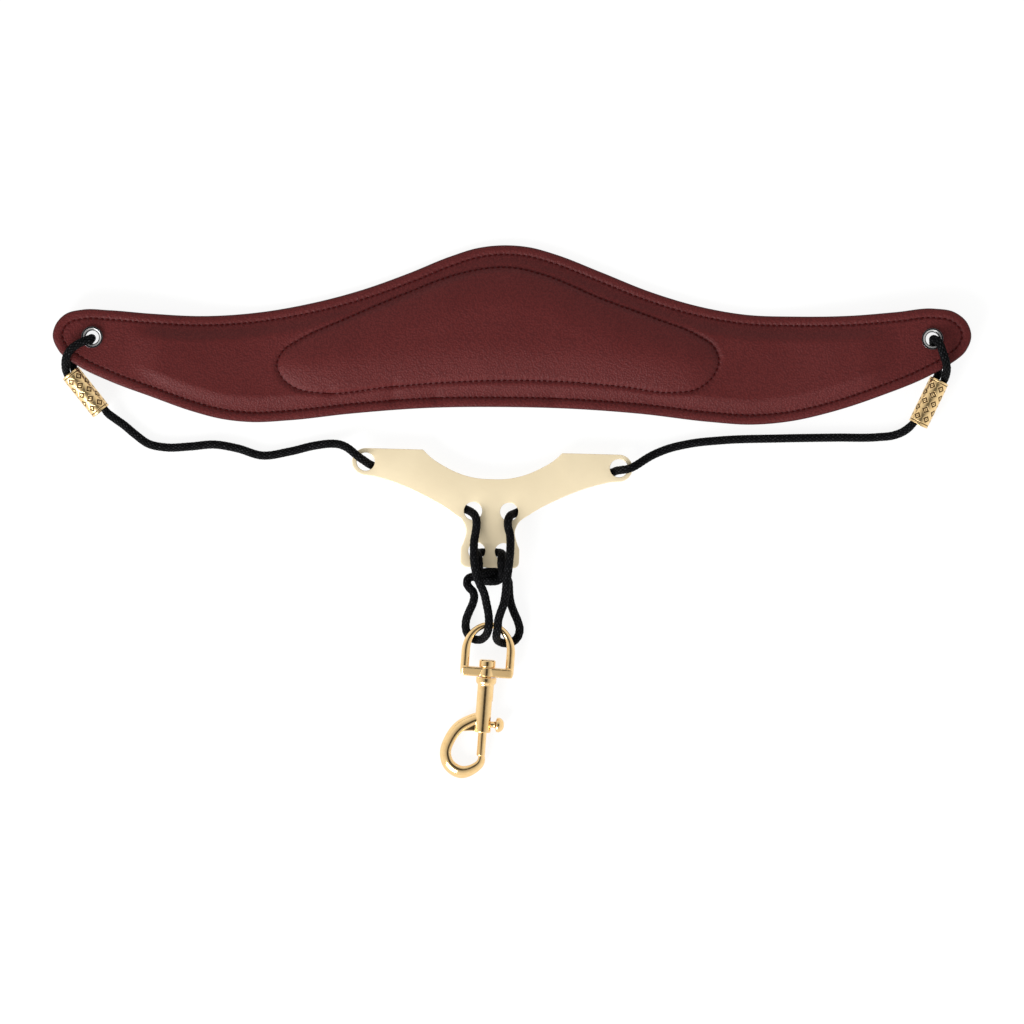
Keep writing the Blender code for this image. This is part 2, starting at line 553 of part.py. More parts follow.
def add_eyelet(side, materials):
    """A flanged barrel through both leathers, and the washer under the back one."""
    place = EYELETS[side]
    lift = float(pad_lift(np.array(place[0])))
    base = frame(side + "_eyelet_frame", (*place, lift), (90, 0, 0))
    seat = RIM_TOP + GAP
    washer_top = -GAP
    washer_low = washer_top - WASHER_THICKNESS
    inner, outer = EYELET_BORE / 2, EYELET_BARREL / 2
    rim = FLANGE_RADIUS
    profile = [
        (inner, washer_low - EYELET_LIP), (outer, washer_low - EYELET_LIP), (outer, seat), (rim, seat),
        (rim, seat + FLANGE_HEIGHT / 3), (rim - FLANGE_WIDTH / 3, seat + FLANGE_HEIGHT),
        (inner + EYELET_WALL, seat + FLANGE_HEIGHT), (inner, seat + FLANGE_HEIGHT / 3),
    ]
    turned(side + "_eyelet", profile, EYELET_SIDES, materials["gunmetal"], base, closed=True)
    hole = outer + GAP
    edge = hole + WASHER_WIDTH
    ring = [(hole, washer_low), (edge, washer_low), (edge, washer_top), (hole, washer_top)]
    turned(side + "_eyelet_washer", ring, EYELET_SIDES, materials["gunmetal"], base, closed=True)


def ferrule_axes(side):
    """A ferrule's direction from its top to its lower mouth, and the direction across it to the pad."""
    turn = math.radians(FERRULES[side][1])
    across = np.array([-math.sin(turn), math.cos(turn), 0])
    return np.array([math.cos(turn), math.sin(turn), 0]), across if side == "left" else -across


def ferrule_points(side, depths, offset):
    """Points in a ferrule at these depths from its top, off its middle by an offset towards the pad."""
    along, across = ferrule_axes(side)
    top = np.array([*FERRULES[side][0], FERRULE_HEIGHT])
    return [top + depth * along + offset * across for depth in depths]


def add_ferrule(side, materials):
    """A gold tube over the two strands of an end loop."""
    place, heading = FERRULES[side]
    base = frame(side + "_ferrule_frame", (*place, FERRULE_HEIGHT), (0, 0, heading - 90))
    inner = FERRULE_BORE / 2
    outer = inner + FERRULE_WALL
    profile = [
        (inner, 0), (outer - FERRULE_CHAMFER, 0), (outer, FERRULE_CHAMFER),
        (outer, FERRULE_LENGTH - FERRULE_CHAMFER), (outer - FERRULE_CHAMFER, FERRULE_LENGTH),
        (inner, FERRULE_LENGTH),
    ]
    turned(side + "_ferrule", profile, FERRULE_SIDES, materials["gold"], base, closed=True)


def cord_widths(points):
    """The share of its width that the cord has at each point: less where a ferrule pinches it."""
    widths = np.ones(len(points))
    for side in FERRULES:
        along, _ = ferrule_axes(side)
        rest = points - ferrule_points(side, [0], 0)[0]
        depth = rest @ along
        off = np.linalg.norm(rest - depth[:, None] * along, axis=1)
        past = np.maximum(-depth, depth - FERRULE_LENGTH)
        pinch = (1 - ease(past / CORD)) * (off < FERRULE_BORE / 2)
        widths -= pinch * (1 - CORD_PINCHED / CORD)
    return widths


def cord_route():
    """The strap's one cord from cut end to cut end, as the name and the route of each stretch."""
    middle = FERRULE_LENGTH / 2
    ends = {}
    for side, loop, run in (("left", LEFT_LOOP, LEFT_SIDE), ("right", RIGHT_LOOP, RIGHT_SIDE)):
        mouth, straight = GRIP
        front = ferrule_points(side, (FERRULE_LENGTH - DEAD_END, middle, straight, mouth), -STRAND_OFFSET)
        back = ferrule_points(side, (mouth, straight, middle), STRAND_OFFSET)
        out = ferrule_points(side, (FERRULE_LENGTH - straight, FERRULE_LENGTH - mouth), STRAND_OFFSET)
        ends[side] = [*front, *loop, *back], [*out, *run]
    left_loop, left_side = ends["left"]
    right_loop, right_side = ends["right"]
    towards = [("end_loop", left_loop), ("side_cord", left_side), ("plate_cord", LEFT_PLATE),
               ("hook_cord", LEFT_STRAND)]
    back = [("end_loop", right_loop), ("side_cord", right_side), ("plate_cord", RIGHT_PLATE),
            ("hook_cord", RIGHT_STRAND)]
    stretches = [("left_" + name, route) for name, route in towards]
    stretches.append(("lower_bridge_cord", LOWER_BRIDGE))
    return stretches + [("right_" + name, route[::-1]) for name, route in back[::-1]]


def add_cords(materials):
    """The cord's stretches. Each cut is in the middle of a straight step, so both faces are parallel."""
    stretches = cord_route()
    right_half = [name.startswith("right") for name, _ in stretches]
    points = thinned(smooth_line(np.vstack([route for _, route in stretches])), CORD_STEP, CORD_TURN)
    steps = np.diff(points, axis=0)
    middles = points[:-1] + steps / 2
    marks = []
    for i in range(1, len(stretches)):
        mark = stretches[i][1][0] if right_half[i] else stretches[i - 1][1][-1]
        marks.append(int(np.linalg.norm(middles - mark, axis=1).argmin()))
    half_gap = GAP / 2 * steps / np.linalg.norm(steps, axis=1)[:, None]
    for (name, _), first, last in zip(stretches, [None, *marks], [*marks, None]):
        inner = points[0 if first is None else first + 1 : None if last is None else last + 1]
        head = [] if first is None else [middles[first] + half_gap[first]]
        tail = [] if last is None else [middles[last] - half_gap[last]]
        stretch = np.array([*head, *inner, *tail])
        tube(name, stretch, CORD, materials["cord"], widths=cord_widths(stretch))


def plate_outline():
    """The plate's right half from the notch's middle to the tab's end, and its mirror image."""
    rim = [(OUTER_HOLE_X + OUTER_HOLE_RIM * math.sin(a), OUTER_HOLE_RIM * math.cos(a))
           for a in np.radians(np.linspace(0, 180, RIM_POINTS))]
    notch = thinned(smooth_line(PLATE_NOTCH[::-1]), PAD_STEP, PLATE_BEND)
    undercut = thinned(smooth_line(PLATE_UNDERCUT), PAD_STEP, PLATE_BEND)
    corner = [(TAB_WIDTH / 2 - TAB_CORNER * (1 - math.cos(a)), TAB_END + TAB_CORNER * (1 - math.sin(a)))
              for a in np.radians(np.linspace(0, 90, CORNER_POINTS))]
    right = np.vstack([notch, rim, undercut, corner])
    left = right[:0:-1] * (-1, 1)
    return np.vstack([right, left])


def add_plate(materials):
    base = frame("plate_frame", (*PLATE_PLACE, PLATE_UNDERSIDE), (0, 0, PLATE_TURN))
    centers = [((OUTER_HOLE_X, 0), PLATE_HOLE), (UPPER_HOLE, PLATE_HOLE), (LOWER_HOLE, TAB_HOLE)]
    holes = [circle((sign * x, y), size / 2, HOLE_SIDES) for (x, y), size in centers for sign in (-1, 1)]
    flat, faces = triangles([plate_outline()], holes)
    low = np.zeros(len(flat))
    sheet("v_plate", flat, faces, low, low + PLATE_THICKNESS, materials["plate_gold"], base)


def hook_height():
    """The stem's height at the hook frame's origin, which brings the hook's lowest point to the table."""
    tilt = math.radians(HOOK_TILT)
    reach = [y * math.sin(tilt) - r * math.cos(tilt) for (_, y), r in zip(ARM_PATH, ARM_RADIUS)]
    return -min(reach)


def add_eye(base, materials):
    """The swivel eye: a round bar bent over, and the base that the rivet goes through."""
    spin = np.linspace(0, math.pi, EYE_POINTS)
    arch = np.stack([EYE_HALF_WIDTH * np.cos(spin), EYE_LEG + EYE_ARCH * np.sin(spin)], axis=1)
    foot = EYE_BASE / 2
    line = np.vstack([(EYE_HALF_WIDTH, foot), arch, (-EYE_HALF_WIDTH, foot)])
    eye = swept("swivel_eye", line, np.full(len(line), EYE_WIRE / 2), EYE_SIDES, materials["gold"], base)
    side = EYE_HALF_WIDTH + EYE_WIRE / 2
    depth = EYE_BASE_DEPTH / 2
    bar = box("eye_base_blank", (-side, 0, -depth), (side, EYE_BASE, depth), EYE_BASE_ROUND, base)
    combine(eye, bar, "UNION")
    radius = PIVOT_BORE / 2
    reach = [(radius, -CUT_REACH), (radius, EYE_BASE + CUT_REACH)]
    cut = turned("eye_pivot_cut", reach, ROUND_SIDES, parent=base)
    combine(eye, cut, "DIFFERENCE")


def add_hook(base, materials):
    """The hook: collar and barrel turned in one, the bent arm, the web between, and the cuts for the
    rivet, the bolt and its knob."""
    top = -GAP
    collar_end = top - COLLAR_HEIGHT
    profile = [(0, top), (COLLAR / 2, top), (COLLAR / 2, collar_end), (BARREL / 2, collar_end),
               (BARREL / 2, BARREL_END), (0, BARREL_END)]
    hook = turned("hook_body", profile, ROUND_SIDES, materials["gold"], base)
    line = smooth_line(ARM_PATH)
    widths = np.interp(np.linspace(0, 1, len(line)), np.linspace(0, 1, len(ARM_RADIUS)), ARM_RADIUS)
    arm = thinned(np.column_stack([line, widths]), PAD_STEP, ARM_BEND)
    combine(hook, swept("arm_blank", arm[:, :2], arm[:, 2], ARM_SIDES, parent=base), "UNION")
    half = WEB_THICKNESS / 2
    flat, faces = triangles([np.array(WEB[::-1])])
    depth = np.full(len(flat), half)
    combine(hook, sheet("web_blank", flat, faces, -depth, depth, None, base), "UNION")
    bore = [(BORE / 2, BORE_TOP), (BORE / 2, BARREL_END - CUT_REACH)]
    combine(hook, turned("bolt_bore_cut", bore, ROUND_SIDES, parent=base), "DIFFERENCE")
    pivot = [(PIVOT_BORE / 2, CUT_REACH), (PIVOT_BORE / 2, top - RIVET_DEPTH - GAP)]
    combine(hook, turned("pivot_cut", pivot, ROUND_SIDES, parent=base), "DIFFERENCE")
    wide = KNOB_NECK / 2 + GAP
    low, high = (0, KNOB_HEIGHT - wide, -wide), (BARREL, KNOB_HEIGHT + BOLT_TRAVEL + wide, wide)
    combine(hook, box("knob_slot_cut", low, high, parent=base), "DIFFERENCE")


def add_rivet(base, materials):
    """The rivet that the hook turns on: its head sits in the eye, and its shank in the collar."""
    seat = EYE_BASE + GAP
    head, shank = RIVET_HEAD / 2, RIVET_SHANK / 2
    end = -GAP - RIVET_DEPTH
    dome = RIVET_HEAD_HEIGHT / 4
    profile = [(0, end), (shank, end), (shank, seat), (head, seat), (head, seat + RIVET_HEAD_HEIGHT - dome),
               (head - dome, seat + RIVET_HEAD_HEIGHT), (0, seat + RIVET_HEAD_HEIGHT)]
    turned("swivel_rivet", profile, ROUND_SIDES, materials["gold"], base)


def add_bolt(base, materials):
    """The spring bolt, and the thumb knob whose neck runs in the barrel's slot."""
    radius = BOLT / 2
    profile = [(0, BOLT_TIP), (radius - BOLT_CHAMFER, BOLT_TIP), (radius, BOLT_TIP + BOLT_CHAMFER),
               (radius, BOLT_TOP), (0, BOLT_TOP)]
    turned("bolt", profile, ROUND_SIDES, materials["gold"], base)
    across = frame("knob_frame", (0, KNOB_HEIGHT, 0), (0, 0, -90), base)
    neck, head = KNOB_NECK / 2, KNOB_HEAD / 2
    foot = radius + GAP
    edge = KNOB_DOME / 2
    profile = [(0, foot), (neck, foot), (neck, KNOB_HEAD_START), (head - edge, KNOB_HEAD_START),
               (head, KNOB_HEAD_START + edge), (head, KNOB_HEAD_END - KNOB_DOME),
               (head - KNOB_DOME, KNOB_HEAD_END), (0, KNOB_HEAD_END)]
    turned("thumb_knob", profile, ROUND_SIDES, materials["gold"], across)


def add_spring(base, materials):
    """The bolt's spring, one unbroken helix in the bore, and its least gap to itself."""
    low = BOLT_TOP + GAP + SPRING_WIRE / 2
    high = BORE_TOP - GAP - SPRING_WIRE / 2
    count = SPRING_TURNS * SPRING_POINTS + 1
    spin = 2 * math.pi * SPRING_TURNS * np.linspace(0, 1, count)
    radius = (SPRING_WIDTH - SPRING_WIRE) / 2
    points = np.stack([radius * np.cos(spin), np.linspace(low, high, count), radius * np.sin(spin)], axis=1)
    apart = np.linalg.norm(points[:, None] - points[None], axis=2)
    step = np.abs(np.arange(count)[:, None] - np.arange(count)[None])
    least = apart[step >= SPRING_POINTS // 2].min() - SPRING_WIRE
    print(f"bolt_spring: least gap to itself {least:.2f} mm")
    tube("bolt_spring", points, SPRING_WIRE, materials["steel"], resolution=1).parent = base


def main():
    for item in list(bpy.data.objects):
        bpy.data.objects.remove(item)
    materials = make_materials()
    add_pad(materials)
    for side in ("left", "right"):
        add_eyelet(side, materials)
        add_ferrule(side, materials)
    add_cords(materials)
    add_plate(materials)
    base = frame("hook_frame", (*HOOK_PLACE, hook_height()))
    turn = Matrix.Rotation(math.radians(HOOK_LEAN), 3, "Z") @ Matrix.Rotation(math.radians(HOOK_TILT), 3, "X")
    base.rotation_euler = turn.to_euler()
    add_eye(base, materials)
    add_hook(base, materials)
    add_rivet(base, materials)
    add_bolt(base, materials)
    add_spring(base, materials)


main()
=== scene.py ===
# %% [markdown]
# # A saxophone neck strap, dressed for its photograph
#
# The strap lies flat on a pale table: a sewn leather neck pad, one long braided cord, a V-shaped spreader
# plate and a swivel snap hook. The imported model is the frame: it says where everything is, and this lesson
# dresses it. Sizes below are in millimetres, and MM turns them into Blender's metres.

# %% Load the frame
import math

import bmesh
import bpy
import numpy as np
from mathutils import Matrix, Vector
from mathutils.geometry import delaunay_2d_cdt


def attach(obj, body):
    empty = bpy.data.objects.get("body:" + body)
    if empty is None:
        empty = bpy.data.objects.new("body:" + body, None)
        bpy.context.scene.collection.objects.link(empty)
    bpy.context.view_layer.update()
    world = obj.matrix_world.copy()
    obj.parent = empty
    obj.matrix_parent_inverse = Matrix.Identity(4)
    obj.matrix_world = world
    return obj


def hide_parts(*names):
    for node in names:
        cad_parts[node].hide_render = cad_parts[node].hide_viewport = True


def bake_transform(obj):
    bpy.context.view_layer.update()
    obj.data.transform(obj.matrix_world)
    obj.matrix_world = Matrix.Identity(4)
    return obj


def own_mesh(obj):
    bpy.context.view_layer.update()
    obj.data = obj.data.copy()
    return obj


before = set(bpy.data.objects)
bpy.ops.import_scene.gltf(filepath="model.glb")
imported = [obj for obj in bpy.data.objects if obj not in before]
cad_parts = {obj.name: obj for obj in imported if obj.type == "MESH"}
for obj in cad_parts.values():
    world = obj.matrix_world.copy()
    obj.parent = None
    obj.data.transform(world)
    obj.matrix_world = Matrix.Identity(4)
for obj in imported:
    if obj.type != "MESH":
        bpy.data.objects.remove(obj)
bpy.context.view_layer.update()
MM = 0.001

# %% [markdown]
# ## Camera
#
# The photograph looks straight down on the strap, with the pad's top edge away from the viewer. A long lens
# from high up keeps the raised ends of the pad from spreading outwards, as they would under a wide one.

# %% Set the camera over the strap
PICTURE_WIDTH = 469.5  # of table that the picture shows
CAMERA_HEIGHT = 2900


def make_camera():
    """A camera straight above the origin: its sensor over its lens is the picture over its height."""
    data = bpy.data.cameras.new("camera")
    data.sensor_width = 36
    data.lens = data.sensor_width * CAMERA_HEIGHT / PICTURE_WIDTH
    data.clip_end = 10 * CAMERA_HEIGHT * MM
    camera = bpy.data.objects.new("camera", data)
    camera.location = (0, 0, CAMERA_HEIGHT * MM)
    bpy.context.scene.collection.objects.link(camera)
    bpy.context.scene.camera = camera
    return camera


camera = make_camera()
print("lens in mm:", round(camera.data.lens, 1))

# %% [markdown]
# ## Shapes as arrays
#
# Nearly every piece here is a grid of points: one parameter runs along the piece and the other round or
# across it. numpy works out all the points at once, and these helpers turn a grid into a mesh.

# %% Grids to meshes


def grid_faces(rows, columns, wrap_rows=False, wrap_columns=False, first=0):
    """The quads between neighbouring points of a grid, counted row by row; a wrapped side meets itself."""
    r, c = np.meshgrid(
        np.arange(rows if wrap_rows else rows - 1),
        np.arange(columns if wrap_columns else columns - 1),
        indexing="ij",
    )
    below, beside = (r + 1) % rows, (c + 1) % columns
    corners = [r * columns + c, r * columns + beside, below * columns + beside, below * columns + c]
    return first + np.stack(corners, axis=-1).reshape(-1, 4)


def tube_faces(rows, sides):
    """The faces of a tube of rings of points: quads round it, and a flat cap at each end."""
    ring = np.arange(sides)[None]
    return [grid_faces(rows, sides, wrap_columns=True), ring[:, ::-1], (rows - 1) * sides + ring]


def link_mesh(name, points, faces):
    """A mesh object from points in millimetres and one or more arrays of faces."""
    mesh = bpy.data.meshes.new(name)
    faces = faces if isinstance(faces, list) else [faces]
    sizes = np.concatenate([np.full(len(f), f.shape[1]) for f in faces])
    corners = np.concatenate([f.ravel() for f in faces])
    places = np.reshape(points, (-1, 3)) * MM
    mesh.vertices.add(len(places))
    mesh.vertices.foreach_set("co", places.astype(np.float32).ravel())
    mesh.loops.add(len(corners))
    mesh.loops.foreach_set("vertex_index", corners.astype(np.int32))
    mesh.polygons.add(len(sizes))
    mesh.polygons.foreach_set("loop_start", (np.cumsum(sizes) - sizes).astype(np.int32))
    mesh.update(calc_edges=True)
    piece = bpy.data.objects.new(name, mesh)
    bpy.context.scene.collection.objects.link(piece)
    return piece


def close_up(piece, reach=1e-7):
    """Merges points that lie together, such as a pole's, and turns every face outwards."""
    shape = bmesh.new()
    shape.from_mesh(piece.data)
    bmesh.ops.remove_doubles(shape, verts=shape.verts, dist=reach)
    bmesh.ops.dissolve_degenerate(shape, edges=shape.edges, dist=reach)
    bmesh.ops.recalc_face_normals(shape, faces=shape.faces)
    shape.to_mesh(piece.data)
    shape.free()


print("grid helpers ready")

# %% [markdown]
# A finished piece gets its finish, rides on a body of the frame and stands for the nodes it replaces. It
# may keep numbers for its points, which its finish reads, and it may be cut by others.

# %% Pieces


def dress(piece, finish, slot, body, *nodes):
    """Gives a piece its finish and the body that it rides on, in place of these nodes of the frame."""
    piece.data.materials.clear()
    piece.data.materials.append(finish)
    piece.data.shade_smooth()
    if body:
        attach(piece, body)
    if nodes:
        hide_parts(*nodes)
    print(f"{piece.name}: {len(piece.data.polygons)} faces")
    return piece


def set_attribute(piece, name, values):
    """Keeps one number for each point of a piece, for its finish to read."""
    made = piece.data.attributes.new(name, "FLOAT", "POINT")
    made.data.foreach_set("value", np.asarray(values, np.float32).ravel())


def closed_mesh(name, points, faces, reach=1e-7, **numbers):
    """A closed piece with its faces outwards. Each further keyword keeps one number for each point."""
    piece = link_mesh(name, points, faces)
    for key, values in numbers.items():
        set_attribute(piece, key, values)
    close_up(piece, reach)
    return piece


def cut(piece, cutters):
    """Cuts cutters out of a piece, keeps the result with its modifiers applied, and drops the cutters."""
    for cutter in cutters:
        change = piece.modifiers.new(cutter.name, "BOOLEAN")
        change.operation, change.solver, change.object = "DIFFERENCE", "EXACT", cutter
    settled = bpy.data.meshes.new_from_object(piece.evaluated_get(bpy.context.evaluated_depsgraph_get()))
    piece.modifiers.clear()
    piece.data = settled
    settled.name = piece.name
    for cutter in cutters:
        bpy.data.objects.remove(cutter)


print("mesh helpers ready")

# %% [markdown]
# Outlines and routes are smooth lines through listed points, and a tube is a circle carried along
# one. The frames along a line turn as little as they can, so nothing on a tube ever spins.

# %% Smooth lines and tubes


def unit(vectors):
    """The same directions with a length of one."""
    return vectors / np.linalg.norm(vectors, axis=-1, keepdims=True)


def ease(t):
    """A smooth step from 0 to 1: 3t^2 - 2t^3."""
    t = np.clip(t, 0, 1)
    return t * t * (3 - 2 * t)


def smooth_line(points, closed=False, steps=24):
    """A dense line through points: each span is a cubic, whose slope at a point is that of the parabola
    through the point and its two neighbours."""
    p = np.array(points, float)
    if closed:
        p = np.vstack([p[-1], p, p[0], p[1]])
    length = np.linalg.norm(np.diff(p, axis=0), axis=1)
    chord = np.diff(p, axis=0) / length[:, None]
    before, after = length[:-1, None], length[1:, None]
    slope = np.zeros_like(p)
    slope[1:-1] = (chord[:-1] * after + chord[1:] * before) / (before + after)
    slope[0] = 2 * chord[0] - slope[1]
    slope[-1] = 2 * chord[-1] - slope[-2]
    t = np.linspace(0, 1, steps, endpoint=False)[:, None]
    spans = []
    for i in range(1 if closed else 0, len(p) - (2 if closed else 1)):
        start = (1 + 2 * t) * (1 - t) ** 2 * p[i] + t * (1 - t) ** 2 * length[i] * slope[i]
        end = t * t * (3 - 2 * t) * p[i + 1] - t * t * (1 - t) * length[i] * slope[i + 1]
        spans.append(start + end)
    return np.vstack(spans if closed else spans + [p[-1:]])


def run_of(line):
    """How far along a line each of its points is."""
    return np.concatenate([[0], np.cumsum(np.linalg.norm(np.diff(line, axis=0), axis=1))])


def points_at(line, at):
    """The points that lie this far along a line."""
    run = run_of(line)
    return np.stack([np.interp(at, run, column) for column in line.T], axis=1)


def evenly(line, step=None, count=None):
    """Points at even distances along a line, about a step apart or of a given count."""
    length = run_of(line)[-1]
    count = count or max(2, round(length / step) + 1)
    return points_at(line, np.linspace(0, length, count))


def joined(loop):
    """A loop that ends where it starts."""
    return np.vstack([loop, loop[:1]])


def right_of(ways):
    """Directions on the table turned by a quarter to the right."""
    return np.stack([ways[:, 1], -ways[:, 0]], axis=1)


def at_height(flat, height):
    """Points of the table, raised to a height."""
    return np.column_stack([flat, np.full(len(flat), height)])


def turns(count):
    """Angles all round a circle, at even steps."""
    return 2 * np.pi * np.arange(count) / count


def circle(turn):
    """The points of a circle of radius 1 at these angles."""
    return np.stack([np.cos(turn), np.sin(turn)], axis=1)


def path_frames(path):
    """Two directions across a path at each of its points, turned as little as possible along it."""
    along = unit(np.gradient(path, axis=0))
    side = np.empty_like(path)
    latest = np.cross(along[0], (0.36, 0.48, 0.8))
    for i, forward in enumerate(along):
        latest = latest - forward * (latest @ forward)
        latest /= np.linalg.norm(latest)
        side[i] = latest
    return side, np.cross(along, side)


def tube_skin(line, radius, sides):
    """A circle of points round each point of a line, in the frame that goes along it."""
    side, up = path_frames(line)
    turn = turns(sides)[None, :, None]
    return line[:, None] + radius * (np.cos(turn) * side[:, None] + np.sin(turn) * up[:, None])


print("line helpers ready")

# %% [markdown]
# ## The cord's route
#
# One black braided cord makes the whole strap: from a cut end in the left ferrule it loops through the
# eyelet, runs to the plate, round the hook's eye, behind the plate's lower holes and back the same way on
# the right. Its real length is all in view. These are the frame's own points along its middle, and each
# list ends where it meets the next one.

# %% Points along the cord
CORD = 3.9
CORD_PINCHED = 3.5  # where two strands share a ferrule
FERRULE_LENGTH = 22.3
FERRULE_BORE = 7.9
FERRULE_HEIGHT = 5.0
FERRULES = {"left": ((-202.0, 63.6), -51.5), "right": ((195.6, 60.15), -116.0)}  # top's place, heading
STRAND_OFFSET = 1.9  # of each strand from its ferrule's middle
DEAD_END = 1.5
GRIP = (1, 4)  # how far inside each mouth the strands run straight

LEFT_LOOP = [
    (-203.9, 64.3, 6.2), (-204.1, 66.6, 8.7), (-203.9, 69.2, 10.9), (-203.1, 71.7, 12.3), (-201.4, 74.2, 13),
    (-198.7, 76.3, 13.3), (-196.2, 77.6, 13.3), (-194.1, 78.5, 12.9), (-192.7, 79.1, 11.4),
    (-192.3, 79.4, 8.8), (-192.3, 79.5, 6), (-192.9, 78.9, 3.7), (-194.6, 77.2, 2.4), (-198, 73.8, 2.3),
    (-200.2, 71, 2.5), (-201, 68.3, 3.5), (-200.75, 66.2, 4.5),
]
RIGHT_LOOP = [
    (197.9, 60.7, 6.2), (198.4, 62.9, 8.7), (198.6, 65.2, 11.1), (198.2, 68, 12.5), (197.4, 70.7, 13.1),
    (196.5, 73.3, 13.3), (195.7, 75.7, 13.3), (194.5, 77.7, 12.9), (193.2, 78.8, 11.4), (192.7, 79, 8.8),
    (192.7, 78.8, 6), (192.9, 77.8, 3.7), (193.2, 75.6, 2.4), (193.7, 71.2, 2.3), (194.6, 67.4, 2.4),
    (195.2, 64.9, 3.1), (194.9, 62.7, 4.2),
]
LEFT_SIDE = [
    (-185.2, 45.4, 4.6), (-182, 42.9, 3.2), (-177.7, 39.8, 2.3), (-172.7, 35.6, 2.2), (-166.4, 31.2, 2.2),
    (-158.6, 29.6, 2.2), (-147.6, 30, 2.2), (-136.2, 30.9, 2.2), (-125.6, 29.1, 2.2), (-114.6, 25.9, 2.2),
    (-101.8, 27.7, 2.2), (-89.9, 30.5, 2.3), (-82.5, 31.3, 2.8), (-79.7, 31.1, 3.6),
]
RIGHT_SIDE = [
    (181.9, 38.8, 3.9), (179, 36.7, 2.8), (174.8, 35.1, 2.3), (167.8, 34.3, 2.2), (148.6, 34.1, 2.2),
    (122.9, 33.7, 2.2), (95.4, 32.8, 2.2), (81.6, 31.3, 2.3), (70.2, 28.5, 2.6), (63.2, 25.4, 3.9),
]
LEFT_PLATE = [
    (-76.6, 30.1, 5.7), (-74.3, 28.7, 7.8), (-71.4, 26.3, 9.2), (-69.4, 24.7, 8.9), (-67.9, 23.7, 7.5),
    (-66.8, 22.9, 5.9), (-65.8, 22.2, 4.1), (-64.1, 21.3, 2.7), (-61.7, 20, 2.2), (-51.4, 15.5, 2.2),
    (-37.6, 9.2, 2.2), (-26.9, 4.1, 2.2), (-23.7, 2.5, 2.2), (-21.5, 1.4, 2.7), (-19.7, 0.6, 4.1),
    (-18.5, -0.1, 5.9), (-17.4, -1, 7.5), (-16.4, -3, 8.9), (-16.2, -5.9, 9.2), (-16.7, -9.8, 9.4),
]
RIGHT_PLATE = [
    (60.4, 23.7, 5.7), (57.8, 22, 7.8), (55, 20.4, 9.2), (52.3, 19.5, 9.1), (50.5, 19.3, 7.7),
    (49.2, 19.1, 5.9), (47.9, 18.9, 4.1), (46.2, 18.2, 2.7), (43.3, 17.5, 2.2), (31.2, 13, 2.2),
    (17.4, 7.2, 2.2), (7.3, 2.5, 2.2), (3.9, 0.6, 2.2), (1.9, -0.4, 2.7), (0.2, -1.1, 4.1),
    (-0.6, -1.5, 5.8), (-1.1, -2.1, 7.7), (-1.8, -3.9, 9.1), (-1.8, -6.7, 9.2), (-1, -9.8, 9.4),
]
LEFT_STRAND = [
    (-17.3, -13.5, 10.5), (-17.4, -17.7, 12.3), (-17.3, -22.2, 13.5), (-16.5, -27.3, 13.6),
    (-14.9, -32.3, 13.2), (-12.8, -36.9, 12.5), (-11.6, -42, 12), (-10.75, -46.5, 11.8),
    (-10.5, -49.7, 11.8), (-10.65, -52.6, 11.6), (-11.3, -55.2, 9.9), (-12.6, -57.2, 6.9),
    (-14.9, -58.5, 3.8), (-17.8, -58.1, 2.4), (-20.2, -56, 2.4), (-21.2, -52.8, 2.8), (-21, -49.5, 3.5),
    (-19.6, -45.6, 4.2), (-17.9, -41.7, 4.6), (-17.3, -38.6, 4.6), (-17.9, -36.4, 4.4), (-19.5, -34.7, 4.1),
    (-20.6, -32.6, 3.6), (-20, -30.5, 3), (-18.1, -29.7, 2.6), (-15.6, -30.4, 2.3), (-12.7, -31.3, 2.4),
    (-9.3, -31.5, 3.9), (-6.3, -31.1, 5.8), (-4.6, -29.4, 7.7), (-4.4, -27.3, 9.1), (-4.7, -25.3, 9.4),
    (-4.9, -23.5, 9.4),
]
RIGHT_STRAND = [
    (-0.7, -13.5, 10.5), (-0.8, -17.7, 12.3), (-1.2, -22.2, 13.5), (-1.8, -27.3, 13.6), (-2.5, -32.3, 13.2),
    (-2.9, -36.9, 12.5), (-3.8, -42, 12), (-5.4, -46.5, 11.8), (-6.3, -49.7, 11.9), (-6.5, -52.8, 11.8),
    (-7, -55.4, 10.8), (-7, -57.9, 7.4), (-5.5, -59.5, 4), (-2.8, -60.2, 2.5), (0.1, -59.6, 2.4),
    (2.5, -57.4, 2.4), (3.5, -54, 2.8), (2.7, -50.2, 3.3), (1, -46.2, 3.7), (-0.5, -42, 4), (-1.2, -38, 3.9),
    (-1.4, -34.4, 3.4), (-1.8, -31.4, 2.8), (-3.3, -29.2, 2.4), (-6.1, -27.9, 2.3), (-9.4, -27.5, 2.9),
    (-12.1, -27.7, 4.9), (-14.1, -27.8, 7.3), (-15, -26.7, 8.9), (-15.1, -25.2, 9.4), (-15.1, -23.5, 9.4),
]
LOWER_BRIDGE = [
    (-4.8, -21.6, 9.2), (-4.7, -20, 7.9), (-4.6, -19.1, 5.9), (-5.5, -18.7, 3.9), (-7.8, -18.5, 2.5),
    (-10.4, -18.4, 2.2), (-13, -18.5, 2.5), (-15.1, -18.6, 3.9), (-15.9, -18.9, 5.9), (-15.7, -19.9, 7.9),
    (-15.3, -21.5, 9.2),
]

print("points chosen along the cord:", len(LEFT_STRAND) + len(RIGHT_STRAND), "of them between plate and hook")

# %% [markdown]
# In a ferrule the cord lies twice, side by side, so those points follow from the ferrule's own place and
# heading. All the points together give one smooth line from cut end to cut end.

# %% One line from end to end
CORD_STATION = 0.28


